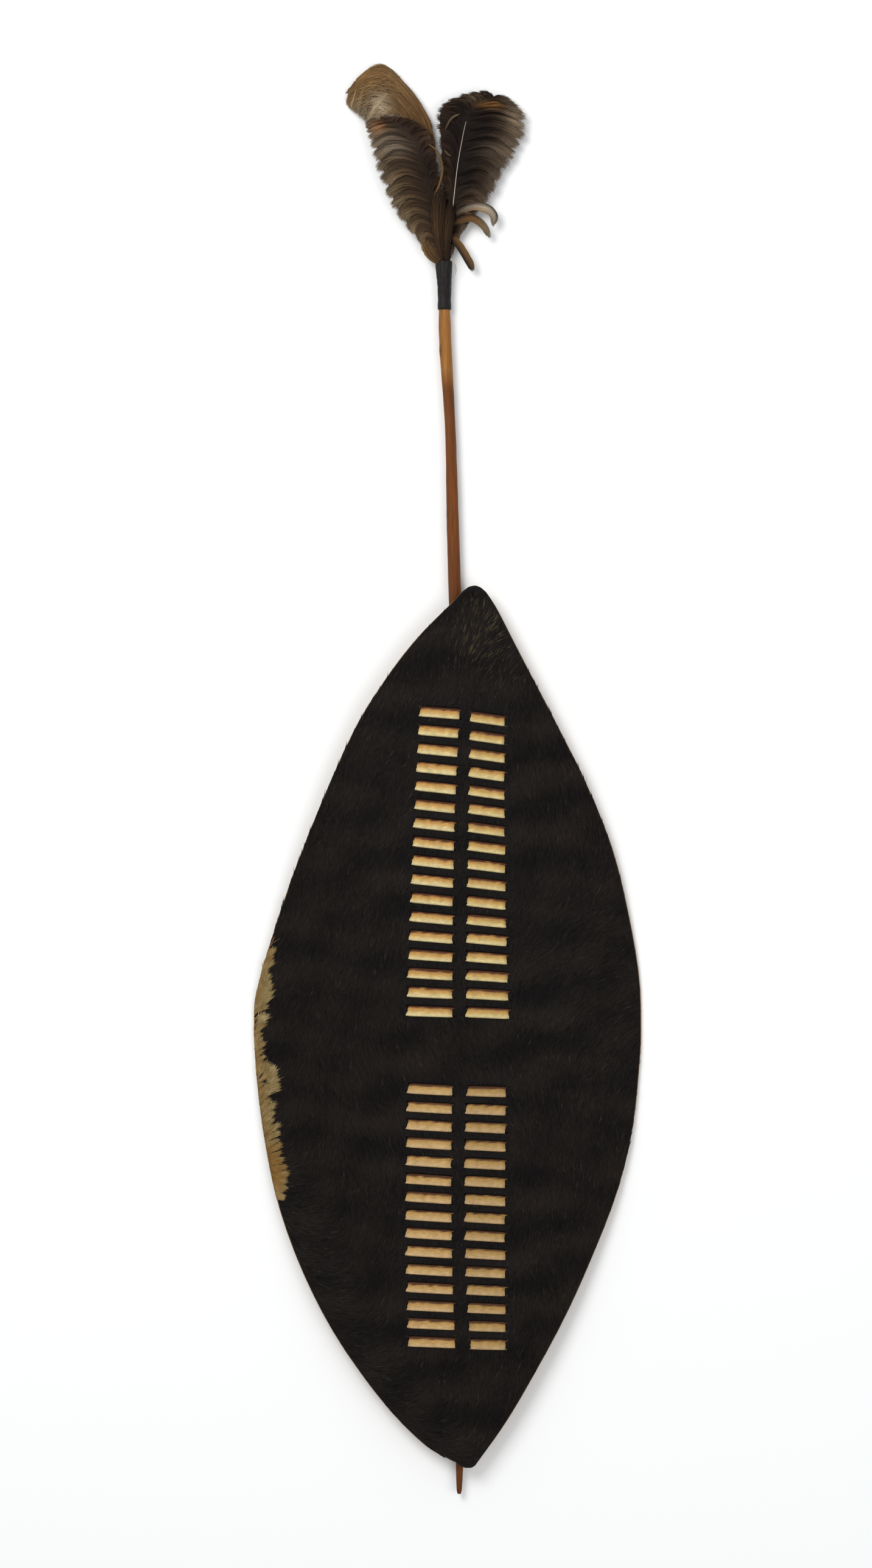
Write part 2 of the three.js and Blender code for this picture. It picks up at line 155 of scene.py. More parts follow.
FOOT_Y = cad_box[0][1] * 1000  # the stick's foot, from the frame's origin
FACE_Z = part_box("hide")[1][2] * 1000
HIDE_THICKNESS = 3.5
RIM = 0.9  # width and depth of the bevel round the cut edge
BACK_Z = FACE_Z - HIDE_THICKNESS
LEVEL_HALF_WIDTH = 66  # the middle lies level and the sides curve down from here
HALF_WIDTH = 205
SLIT_REACH = 4.9  # from a row's middle to the middle of the slits above and below it
SLIT_HALF = 1.1
SLIT_OVERRUN = (1.5, 3)
STRIPS = {
    "lacing_upper_left": dict(
        rows=17, head=823, foot=509, left=(-29, -36.5, -42.5), right=(13, 6.4, 5.5),
        slope=(-0.075, -0.11, -0.035),
    ),
    "lacing_upper_right": dict(
        rows=17, head=816.5, foot=507.5, left=(24.3, 21.5, 20), right=(60, 60.5, 64.5),
        slope=(-0.14, -0.125, -0.045),
    ),
    "lacing_lower_left": dict(
        rows=15, head=427, foot=161.5, left=(-41.5, -43.5, -41), right=(5, 4.3, 7.7),
        slope=(-0.055, -0.065, -0.042),
    ),
    "lacing_lower_right": dict(
        rows=15, head=425, foot=159, left=(20.5, 18.3, 23.7), right=(61.2, 60.5, 61),
        slope=(-0.03, -0.06, -0.027),
    ),
}


def add_piece(name, points, faces, material, replaces=(), tint=None):
    """Makes a mesh piece from points in mm and a list of face arrays, each with faces of one size.

    tint is a colour or a row of colours per point, kept in the attribute "tint".
    """
    points = np.asarray(points, dtype=np.float64).reshape(-1, 3)
    points = (points + (0, FOOT_Y, 0)) / 1000
    loops = np.concatenate([np.asarray(f).ravel() for f in faces])
    sizes = np.concatenate([np.full(len(f), np.asarray(f).shape[1]) for f in faces])
    mesh = bpy.data.meshes.new(name)
    mesh.vertices.add(len(points))
    mesh.vertices.foreach_set("co", points.ravel())
    mesh.loops.add(len(loops))
    mesh.loops.foreach_set("vertex_index", loops.astype(np.int32))
    mesh.polygons.add(len(sizes))
    starts = np.concatenate([[0], np.cumsum(sizes)[:-1]])
    mesh.polygons.foreach_set("loop_start", starts.astype(np.int32))
    mesh.update(calc_edges=True)
    mesh.polygons.foreach_set("use_smooth", np.full(len(sizes), True))
    if tint is not None:
        colours = np.ones((len(points), 4), dtype=np.float32)
        colours[:, : tint.shape[-1]] = tint
        layer = mesh.color_attributes.new("tint", "FLOAT_COLOR", "POINT")
        layer.data.foreach_set("color", colours.ravel())
    mesh.materials.append(material)
    piece = bpy.data.objects.new(name, mesh)
    bpy.context.scene.collection.objects.link(piece)
    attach(piece, "root")
    if replaces:
        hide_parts(*replaces)


def swell(x, y, wavelength, seed, waves=7):
    """A smooth random surface, mostly within -1 to 1: sines of about that wavelength, any way on."""
    rng = np.random.default_rng(seed)
    turn = rng.uniform(0, 2 * np.pi, waves)
    pace = 2 * np.pi / (wavelength * rng.uniform(0.7, 1.5, waves))
    start = rng.uniform(0, 2 * np.pi, waves)
    x, y = np.broadcast_arrays(np.asarray(x, float), np.asarray(y, float))
    along = np.cos(turn) * x[..., None] + np.sin(turn) * y[..., None]
    return np.sin(pace * along + start).sum(-1) / np.sqrt(waves)


def face_height(x, y):
    """Height of the hide's face: level in the middle, parabolas down to its sides, and cockled."""
    out = np.clip((np.abs(x) - LEVEL_HALF_WIDTH) / (HALF_WIDTH - LEVEL_HALF_WIDTH), 0, 1.03)
    cockle = 0.35 * swell(x, y, 75, 11) + 0.15 * swell(x, y, 26, 12)
    return FACE_Z - BACK_Z * out**2 + cockle * (1 - out**2) ** 2


def outline_of(node):
    """The lowest and highest x of a node at closely spaced y, read where its edges cross each y."""
    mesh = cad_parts[node].data
    points = np.empty(len(mesh.vertices) * 3)
    mesh.vertices.foreach_get("co", points)
    points = points.reshape(-1, 3) * 1000 - (0, FOOT_Y, 0)
    edges = np.empty(len(mesh.edges) * 2, dtype=np.int32)
    mesh.edges.foreach_get("vertices", edges)
    start, end = points[edges.reshape(-1, 2)].transpose(1, 0, 2)
    low, high = points[:, 1].min(), points[:, 1].max()
    share = 0.5 - 0.5 * np.cos(np.linspace(0.02, np.pi - 0.02, 500))
    y = low + (high - low) * share
    rise = end[:, 1] - start[:, 1]
    rise = np.where(np.abs(rise) < 1e-9, np.nan, rise)
    t = (y[:, None] - start[:, 1]) / rise
    x = start[:, 0] + (end[:, 0] - start[:, 0]) * t
    x[~((t >= 0) & (t <= 1))] = np.nan
    return y, np.nanmin(x, axis=1), np.nanmax(x, axis=1)


OUTLINE_Y, OUTLINE_LEFT, OUTLINE_RIGHT = outline_of("hide")


def left_edge(y):
    return np.interp(y, OUTLINE_Y, OUTLINE_LEFT)


def right_edge(y):
    return np.interp(y, OUTLINE_Y, OUTLINE_RIGHT)


def through(values, t):
    """The parabola through three values at t = 0, 0.5 and 1."""
    head, middle, foot = values
    return head * (1 - t) * (1 - 2 * t) + middle * 4 * t * (1 - t) + foot * t * (2 * t - 1)


def on_strip(strip, u, s):
    """x and y of the place u (0 to 1) across a strip and s down it from its first row."""
    t = s / (strip["head"] - strip["foot"])
    left = through(strip["left"], t)
    right = through(strip["right"], t)
    x = left + (right - left) * u
    y = strip["head"] - s + through(strip["slope"], t) * (x - (left + right) / 2)
    return x, y


def pitch_of(strip):
    return (strip["head"] - strip["foot"]) / (strip["rows"] - 1)


def make_hide_grid():
    """Grid lines that fall on every slit's edges.

    A level is a line across the hide, given by its y at six stations: the hide's left edge, the
    ends of the left strip's slits, those of the right strip's, and the right edge. Columns share
    out the width between stations. Returns x, y and which cells are slit.
    """
    names = list(STRIPS)
    tip_gap = 0.1  # the first and last levels stop this far inside the tips
    cut = SLIT_REACH - SLIT_HALF, SLIT_REACH + SLIT_HALF
    steps = np.array([-cut[1], -cut[0], -1.3, 1.3, cut[0], cut[1], 8.5, 11.1])

    def strip_levels(left_name, right_name):
        """Levels of a pair of columns: y at the stations, the middle four's x as shares of the
        width, and whether the cells below it are slit."""
        left, right = STRIPS[left_name], STRIPS[right_name]
        made = []
        for row in range(left["rows"]):
            for i, step in enumerate(steps):
                if row == left["rows"] - 1 and i > 5:
                    break
                xs, ys = [], []
                for strip in (left, right):
                    s = row * pitch_of(strip) + step
                    width = strip["right"][1] - strip["left"][1]
                    ends = (-SLIT_OVERRUN[0] / width, 1 + SLIT_OVERRUN[1] / width)
                    for u in ends:
                        x, y = on_strip(strip, u, s)
                        xs.append(x)
                        ys.append(y)
                ys = np.array([ys[0], *ys, ys[-1]])
                wide = left_edge(ys[0]), right_edge(ys[-1])
                shares = (np.array(xs) - wide[0]) / (wide[1] - wide[0])
                made.append((ys, shares, i in (0, 4)))
        return made

    upper = strip_levels(names[0], names[1])
    lower = strip_levels(names[2], names[3])

    def between(first, last, ts):
        return [
            (first[0] * (1 - t) + last[0] * t, first[1] * (1 - t) + last[1] * t, False) for t in ts
        ]

    tip = (np.full(6, OUTLINE_Y[-1] - tip_gap), upper[0][1], False)
    foot = (np.full(6, OUTLINE_Y[0] + tip_gap), lower[-1][1], False)
    eased = np.linspace(0, 1, 33)[:-1] ** 1.6
    levels = [tip, *between(tip, upper[0], eased[1:])]
    levels += upper
    levels += between(upper[-1], lower[0], np.linspace(0, 1, 16)[1:-1])
    levels += lower
    levels += between(lower[-1], foot, 1 - eased[::-1])

    counts = (25, 9, 4, 8, 23)  # columns between one station and the next
    xs, ys, slit = [], [], []
    for y6, shares, is_slit in levels:
        low, high = left_edge(y6[0]), right_edge(y6[-1])
        stations = np.array([low, *(low + (high - low) * shares), high])
        row_x, row_y = [], []
        for k, count in enumerate(counts):
            t = np.linspace(0, 1, count + 1)[: None if k == 4 else -1]
            row_x.append(stations[k] + (stations[k + 1] - stations[k]) * t)
            row_y.append(y6[k] + (y6[k + 1] - y6[k]) * t)
        row_x, row_y = np.concatenate(row_x), np.concatenate(row_y)
        row_x[1] = min(row_x[0] + RIM, row_x[1])
        row_x[-2] = max(row_x[-1] - RIM, row_x[-2])
        xs.append(row_x)
        ys.append(row_y)
        slit.append(is_slit)
    columns = len(xs[0]) - 1
    starts = np.cumsum((0, *counts))
    in_strip = np.zeros(columns, bool)
    in_strip[starts[1] : starts[2]] = True
    in_strip[starts[3] : starts[4]] = True
    cells = np.array(slit[:-1])[:, None] & in_strip[None, :]
    return np.array(xs), np.array(ys), cells


def grid_faces(rows, columns, first=0):
    """Faces of a grid of rows by columns points, counter-clockwise with rows going down the page."""
    index = first + np.arange(rows * columns).reshape(rows, columns)
    a, b = index[:-1, :-1], index[:-1, 1:]
    c, d = index[1:, 1:], index[1:, :-1]
    return np.stack([a, d, c, b], axis=-1)


def pale_root_width(y):
    """How far in from the left edge the pale hair is rooted. It breaks off once, and is ragged."""
    places = np.array([
        [312, 0], [316, 4], [322, 7], [332, 10], [342, 8], [350, 8], [360, 7], [370, 9], [382, 9],
        [392, 7], [403, 9], [412, 6], [420, 5], [426, 2], [440, 3.5], [452, 3], [466, 5], [480, 4],
        [489, 2], [493, 0], [505, 0], [508, 8], [514, 14], [524, 13], [534, 9], [545, 6],
        [556, 4], [566, 2], [572, 0],
    ])
    ragged = 1.6 * swell(y, 0 * y, 8, 31)
    width = np.interp(y, places[:, 0], places[:, 1])
    return np.where(width > 0.5, np.maximum(0.8 * width + ragged - 0.4, 0), 0)


def hair_on_cowhide():
    """Dried cowhide. Black skin under the hair, pale skin under the pale hair, and tan where it was
    cut or scraped, with the drag marks of the scraper and darker patches of fat on the back."""
    material, tree, shader = start_material(
        "dried_cowhide", **{"Roughness": 0.8, "Specular IOR Level": 0.2}
    )
    where = add_node(tree, "ShaderNodeTexCoord").outputs["Object"]
    tint = add_node(tree, "ShaderNodeAttribute", attribute_name="tint")
    stretched = add_node(
        tree, "ShaderNodeMapping", {"Vector": where, "Scale": (1.0, 0.25, 1.0)}
    ).outputs["Vector"]
    # Scraper marks: about 3 mm wide and four times as long.
    marks = add_node(
        tree, "ShaderNodeTexNoise", {"Vector": stretched, "Scale": 330, "Detail": 6, "Roughness": 0.62}
    ).outputs["Fac"]
    # Patches of fat and blood left in the skin, a hand's breadth across.
    patches = add_node(
        tree, "ShaderNodeTexNoise", {"Vector": where, "Scale": 14, "Detail": 4, "Roughness": 0.6}
    ).outputs["Fac"]
    skin = add_node(
        tree, "ShaderNodeValToRGB", {"Fac": patches}
    )
    skin.color_ramp.elements[0].position = 0.34
    skin.color_ramp.elements[0].color = linear("#8a6238")
    skin.color_ramp.elements[1].position = 0.66
    skin.color_ramp.elements[1].color = linear("#bd9c6a")
    marked = add_node(
        tree, "ShaderNodeMix",
        {"Factor": marks, "A": linear("#6b4a29"), "B": linear("#d2b684")}, data_type="RGBA",
    )
    mixed = add_node(tree, "ShaderNodeMix", {"Factor": 0.4}, data_type="RGBA")
    tree.links.new(skin.outputs["Color"], mixed.inputs["A"])
    tree.links.new(marked.outputs["Result"], mixed.inputs["B"])
    # The attribute's alpha says how bare the skin is: 0 under hair, 1 on the back and the cut edge.
    whole = add_node(tree, "ShaderNodeMix", {"Factor": tint.outputs["Alpha"]}, data_type="RGBA")
    tree.links.new(tint.outputs["Color"], whole.inputs["A"])
    tree.links.new(mixed.outputs["Result"], whole.inputs["B"])
    tree.links.new(whole.outputs["Result"], shader.inputs["Base Color"])
    bump = add_node(
        tree, "ShaderNodeBump", {"Height": marks, "Strength": 0.5, "Distance": 0.0006}
    )
    tree.links.new(bump.outputs["Normal"], shader.inputs["Normal"])
    return material


def make_hide():
    x, y, slit = make_hide_grid()
    rows, columns = x.shape
    face_z = face_height(x, y)
    back_z = np.maximum(face_z - HIDE_THICKNESS, 0.05)
    on_rim = np.zeros((rows, columns), bool)
    on_rim[:, [0, -1]] = True
    on_rim[[0, -1], :] = True
    face_z = np.where(on_rim, face_z - RIM, face_z)
    points = np.concatenate(
        [np.stack([x, y, face_z], -1).reshape(-1, 3), np.stack([x, y, back_z], -1).reshape(-1, 3)]
    )
    count = rows * columns
    kept = grid_faces(rows, columns)[~slit].reshape(-1, 4)
    # A side of a kept cell that no other kept cell shares is an edge, and gets a wall.
    sides = np.concatenate([np.stack([kept[:, i], kept[:, (i + 1) % 4]], -1) for i in range(4)])
    keys = sides[:, 0] * count + sides[:, 1]
    lone = ~np.isin(sides[:, 1] * count + sides[:, 0], keys)
    a, b = sides[lone].T
    walls = np.stack([b, a, a + count, b + count], -1)
    back = (kept + count)[:, ::-1]

    pale = (x - left_edge(y)) < pale_root_width(y)
    skin = np.where(pale[..., None], linear("#6d5834")[:3], linear("#0b0908")[:3])
    bare = on_rim.astype(float)
    face_tint = np.concatenate([skin, bare[..., None]], -1).reshape(-1, 4)
    back_tint = face_tint.copy()
    back_tint[:, 3] = 1
    add_piece(
        "hide_skin", points, [kept, back, walls], hair_on_cowhide(),
        replaces=("hide",), tint=np.concatenate([face_tint, back_tint]),
    )


make_hide()


# ---- Hair -------------------------------------------------------------------------------------
# Short cow hair, black but for a pale patch on the left edge, lying flat in slow swirls. Each
# blade is a lick of a few hairs, with its root on the skin and its tip lifted clear.


def hair_flow(x, y):
    """The way the hair lies, in radians from +X: up and to the right, swinging out down the edge."""
    patch = np.interp(y, [300, 325, 350, 380, 420, 470, 530, 600], [-35, -20, 12, 30, 48, 60, 52, 70])
    body = 78 + 22 * swell(x, y, 320, 21) + 7 * swell(x, y, 60, 22)
    near = np.clip(1 - (x - left_edge(y)) / 70, 0, 1)
    at_head = np.exp(-(((x - 52) / 34) ** 2) - ((y - 896) / 52) ** 2)
    body = body * (1 - at_head) + (38 + 14 * swell(x, y, 22, 24)) * at_head
    return np.radians(patch * near + body * (1 - near))


def over_lacing(x, y, margin):
    """Whether a place lies on a strip where it crosses the face, or within margin of it."""
    hit = np.zeros(x.shape, bool)
    for strip in STRIPS.values():
        s = strip["head"] - y
        for _ in range(2):
            t = s / (strip["head"] - strip["foot"])
            left, right = through(strip["left"], t), through(strip["right"], t)
            s = strip["head"] - y + through(strip["slope"], t) * (x - (left + right) / 2)
        row = np.clip(np.round(s / pitch_of(strip)), 0, strip["rows"] - 1)
        off = np.abs(s - row * pitch_of(strip))
        beside = np.maximum(left - x, x - right)
        hit |= (off < SLIT_REACH + 0.7 + margin) & (beside < margin)
    return hit


def blades(x, y, turn, length, width, lift, seed):
    """Licks of hair: five points each, a pair at the root, a pair at 0.45 and one at the tip.

    The middle line runs from the root for its length at its turn, bends aside by a tenth of its
    length, and rises by its lift; its width tapers to nothing. Returns points and faces.
    """
    rng = np.random.default_rng(seed)
    count = len(x)
    t = np.array([0, 0, 0.45, 0.45, 1])
    side = np.array([-0.35, 0.35, -0.5, 0.5, 0])
    bend = rng.normal(0, 0.1, count)[:, None] * t**2
    forward = length[:, None] * t
    aside = length[:, None] * bend + width[:, None] * side
    cos, sin = np.cos(turn)[:, None], np.sin(turn)[:, None]
    px = x[:, None] + forward * cos - aside * sin
    py = y[:, None] + forward * sin + aside * cos
    roll = rng.normal(0, 0.35, count)[:, None]
    # A blade over the hide's edge keeps the height of the edge.
    on_x = np.clip(px, left_edge(py) + 0.5, right_edge(py) - 0.5)
    pz = face_height(on_x, py) + 0.1 + lift[:, None] * t**1.3 + roll * width[:, None] * side
    points = np.stack([px, py, np.maximum(pz, face_height(on_x, py) + 0.02)], -1)
    first = 5 * np.arange(count)[:, None, None]
    faces = first + np.array([[0, 2, 3], [0, 3, 1], [2, 4, 3]])
    return points, faces.reshape(-1, 3)[:, ::-1]


def cow_hair(name, roughness, specular):
    """Coarse straight hair, dark by its own pigment, whose scales give it a dull silky gloss."""
    material, tree, shader = start_material(
        name, **{"Roughness": roughness, "Specular IOR Level": specular, "IOR": 1.55}
    )
    tint = add_node(tree, "ShaderNodeAttribute", attribute_name="tint")
    tree.links.new(tint.outputs["Color"], shader.inputs["Base Color"])
    return material


def scatter(rng, count, low, high):
    """Random places inside the hide's outline between two heights."""
    y = rng.uniform(low, high, 3 * count)
    x = rng.uniform(-HALF_WIDTH, HALF_WIDTH, 3 * count)
    inside = (x > left_edge(y) + 0.3) & (x < right_edge(y) - 0.3)
    return x[inside][:count], y[inside][:count]


def make_black_hair():
    material = cow_hair("black_cow_hair", 0.6, 0.07)
    spans = {"hair_upper": (470, OUTLINE_Y[-1] - 1), "hair_lower": (OUTLINE_Y[0] + 1, 470)}
    dark, brown = linear("#0d0a09")[:3], linear("#221c18")[:3]
    khaki, grey = linear("#51472f")[:3], linear("#38332b")[:3]
    for seed, (name, (low, high)) in enumerate(spans.items(), start=41):
        rng = np.random.default_rng(seed)
        x, y = scatter(rng, 58000, low, high)
        turn = hair_flow(x, y) + rng.normal(0, 0.16, len(x))
        length = rng.uniform(7, 13, len(x))
        # Between two crossings of a strip only short hair is left, where the strip rubs.
        worn_short = over_lacing(x, y, 6.5) & (rng.random(len(x)) < 0.8)
        length = np.where(worn_short, rng.uniform(2.2, 4.5, len(x)), length)
        tip_x, tip_y = x + length * np.cos(turn), y + length * np.sin(turn)
        rooted = ~over_lacing(x, y, 0.3) & ~over_lacing(tip_x, tip_y, -0.7)
        rooted &= (x - left_edge(y)) > pale_root_width(y) - 1
        rooted &= (tip_x > left_edge(tip_y) - 0.5) & (tip_x < right_edge(tip_y) + 0.5)
        rooted &= (tip_y < OUTLINE_Y[-1] + 0.5) & (tip_y > OUTLINE_Y[0] - 0.5)
        x, y, turn, length = x[rooted], y[rooted], turn[rooted], length[rooted]
        width = rng.uniform(0.5, 1.0, len(x))
        lift = rng.uniform(0.1, 0.7, len(x))
        points, faces = blades(x, y, turn, length, width, lift, seed)
        # Mottled near-black, with a scatter of khaki licks by the head and grey ones elsewhere:
        # partly worn hair, and partly a painted sheen.
        tone = np.clip(0.42 + 0.3 * swell(x, y, 45, 51) + rng.normal(0, 0.22, len(x)), 0, 1)
        colour = np.array(dark) * (1 - tone[:, None]) + np.array(brown) * tone[:, None]
        by_head = np.exp(-(((x - 42) / 34) ** 2) - ((y - 905) / 44) ** 2)
        wear_and_sheen = 0.6 * by_head * np.clip(0.4 + swell(x, y, 9, 53), 0, 1.2)
        wear_and_sheen += 0.01 + 0.035 * np.clip(swell(x, y, 120, 52), 0, 1) * np.clip(swell(x, y, 14, 54), 0, 1)
        has_wear_and_sheen = rng.random(len(x)) < wear_and_sheen
        wear_and_sheen_colour = np.array(khaki) * by_head[:, None] + np.array(grey) * (1 - by_head[:, None])
        strength = rng.uniform(0.15, 0.85, len(x))[:, None]
        colour = np.where(has_wear_and_sheen[:, None], colour * (1 - strength) + wear_and_sheen_colour * strength, colour)
        # Each lick is painted darker at its root and lighter at its lifted tip, as painted shade and
        # highlight.
        shade = np.array([0.75, 0.75, 1, 1, 1.15])
        tint = colour[:, None, :] * shade[:, None]
        add_piece(name, points, [faces], material, tint=tint.reshape(-1, 3))


def make_pale_hair():
    material = cow_hair("pale_cow_hair", 0.66, 0.12)
    rng = np.random.default_rng(61)
    count = 30000
    licks = 26
    y = rng.uniform(308, 576, count)
    depth = rng.uniform(-0.2, 17, count)
    x = left_edge(y) + depth
    rooted = depth < pale_root_width(y)
    # Loose licks further in, which lie over the black hair.
    lick_y = rng.uniform(418, 446, licks)
    lick = rng.integers(0, licks, count)
    in_lick = (rng.random(count) < 0.035) & ~rooted
    lick_x = left_edge(lick_y) + 7 + 9 * np.random.default_rng(62).random(licks)
    x = np.where(in_lick, lick_x[lick] + rng.normal(0, 0.7, count), x)
    y = np.where(in_lick, lick_y[lick] + rng.normal(0, 0.7, count), y)
    lone = (rng.random(count) < 0.006) & ~rooted & ~in_lick
    x = np.where(lone, left_edge(498) + 4 + rng.normal(0, 0.8, count), x)
    y = np.where(lone, 494 + rng.normal(0, 1.2, count), y)
    kept = rooted | in_lick | lone
    x, y, depth, in_lick = x[kept], y[kept], depth[kept], in_lick[kept]
    # Hair by hair it leans together into tufts some 7 mm apart, whose points reach out unevenly.
    tuft_pitch, slant = 6.5, 0.35
    turn = hair_flow(x, y) + 0.1 * swell(x, y, 16, 63)
    tuft = np.floor((y - slant * depth) / tuft_pitch + 0.4 * swell(y, 0 * y, 30, 67))
    middle = (tuft + 0.5) * tuft_pitch + slant * depth
    reach = np.random.default_rng(64).uniform(0.55, 1.35, 200)[tuft.astype(int) % 200]
    length = rng.uniform(8, 13.5, len(x)) * reach
    pull = np.clip((middle - y) / tuft_pitch, -0.6, 0.6) * 0.75
    turn = turn + pull + rng.normal(0, 0.09, len(x))
    length = np.where(in_lick, rng.uniform(8, 14, len(x)), length)
    tip_x, tip_y = x + length * np.cos(turn), y + length * np.sin(turn)
    turn = turn - np.clip((left_edge(tip_y) + 1 - tip_x) / length, 0, 0.9)
    width = rng.uniform(0.45, 0.9, len(x))
    lift = rng.uniform(0.6, 1.7, len(x))
    points, faces = blades(x, y, turn, length, width, lift, 65)
    straw, cream, rust = (np.array(linear(c)[:3]) for c in ("#7c653c", "#a8966a", "#83602e"))
    tone = np.clip(0.4 + 0.35 * swell(x, y, 9, 66) + rng.normal(0, 0.28, len(x)), 0, 1)[:, None]
    rusty = np.exp(-(((y - 346) / 16) ** 2) - (depth / 8) ** 2)[:, None]
    rusty = np.clip(rusty + 0.5 * np.exp(-((depth / 3) ** 2))[:, None], 0, 1)
    colour = (straw * (1 - tone) + cream * tone) * (1 - rusty) + rust * rusty
    # Each lick is painted darker at its root and lighter at its lifted tip, as painted shade and highlight.
    shade = np.array([0.6, 0.6, 0.95, 0.95, 1.1])
    tint = colour[:, None, :] * shade[:, None]
    add_piece("hair_pale_patch", points, [faces], material, tint=tint.reshape(-1, 3))


make_black_hair()
make_pale_hair()


# ---- Lacing -----------------------------------------------------------------------------------
# Four strips of pale dried hide, about 1.4 mm thick, woven over the face and behind it. They were
# cut by hand, so their edges wander, and each is painted dark brown where it comes up out of a slit,
# as painted shade under the slit's edge.


def cut_corners(line):
    """Rounds a line of points by cutting every corner at a quarter and three quarters of its sides."""
    a, b = line[:-1], line[1:]
    cut = np.stack([0.75 * a + 0.25 * b, 0.25 * a + 0.75 * b], 1).reshape(-1, line.shape[1])
    return np.concatenate([line[:1], cut, line[-1:]])


def tube_faces(rings, around, first=0):
    """Faces of a closed tube of rings, with a flat cap at each end. Rings run anticlockwise when
    seen from the last ring's end."""
    index = first + np.arange(rings * around).reshape(rings, around)
    a, b = index[:-1], np.roll(index[:-1], -1, axis=1)
    c, d = np.roll(index[1:], -1, axis=1), index[1:]
    walls = np.stack([a, b, c, d], -1).reshape(-1, 4)
    return [walls, index[:1, ::-1], index[-1:]]


def streaked(name, grain, stains, bump, **shader_inputs):
    """A material whose tint is multiplied by two noises, grain and stains. Each is its stretch,
    scale, detail and roughness, the noise's low and high, and what they multiply by. The grain
    also raises the surface, by bump's strength and its distance in metres."""
    material, tree, shader = start_material(name, **shader_inputs)
    where = add_node(tree, "ShaderNodeTexCoord").outputs["Object"]
    tint = add_node(tree, "ShaderNodeAttribute", attribute_name="tint")
    noises, shares = [], []
    for stretch, scale, detail, roughness, low, high, dark, light in (grain, stains):
        placed = add_node(tree, "ShaderNodeMapping", {"Vector": where, "Scale": stretch})
        noise = add_node(tree, "ShaderNodeTexNoise", {
            "Vector": placed.outputs["Vector"], "Scale": scale, "Detail": detail, "Roughness": roughness,
        }).outputs["Fac"]
        shares.append(add_node(tree, "ShaderNodeMapRange", {
            "Value": noise, "From Min": low, "From Max": high, "To Min": dark, "To Max": light,
        }).outputs["Result"])
        noises.append(noise)
    both = add_node(tree, "ShaderNodeMath", dict(enumerate(shares)), operation="MULTIPLY").outputs["Value"]
    grey = add_node(tree, "ShaderNodeCombineColor", {"Red": both, "Green": both, "Blue": both})
    colour = add_node(tree, "ShaderNodeMix", {
        "Factor": 1.0, "A": tint.outputs["Color"], "B": grey.outputs["Color"],
    }, data_type="RGBA", blend_type="MULTIPLY")
    tree.links.new(colour.outputs["Result"], shader.inputs["Base Color"])
    raised = add_node(tree, "ShaderNodeBump", {"Height": noises[0], "Strength": bump[0], "Distance": bump[1]})
    tree.links.new(raised.outputs["Normal"], shader.inputs["Normal"])
    return material


def dried_hide_strip():
    """Scraped, sun-dried hide: matt, straw-coloured, with fine streaks where the scraper went."""
    return streaked(
        "dried_hide_strip",
        # Streaks across the strip, about 0.9 mm wide.
        grain=((0.16, 1.0, 1.0), 1100, 4, 0.6, 0.25, 0.75, 0.74, 1.16),
        # Stains some 6 mm across.
        stains=((1.0, 1.0, 1.0), 170, 3, 0.55, 0.3, 0.7, 0.82, 1.08),
        bump=(0.35, 0.0004), **{"Roughness": 0.72, "Specular IOR Level": 0.25},
    )


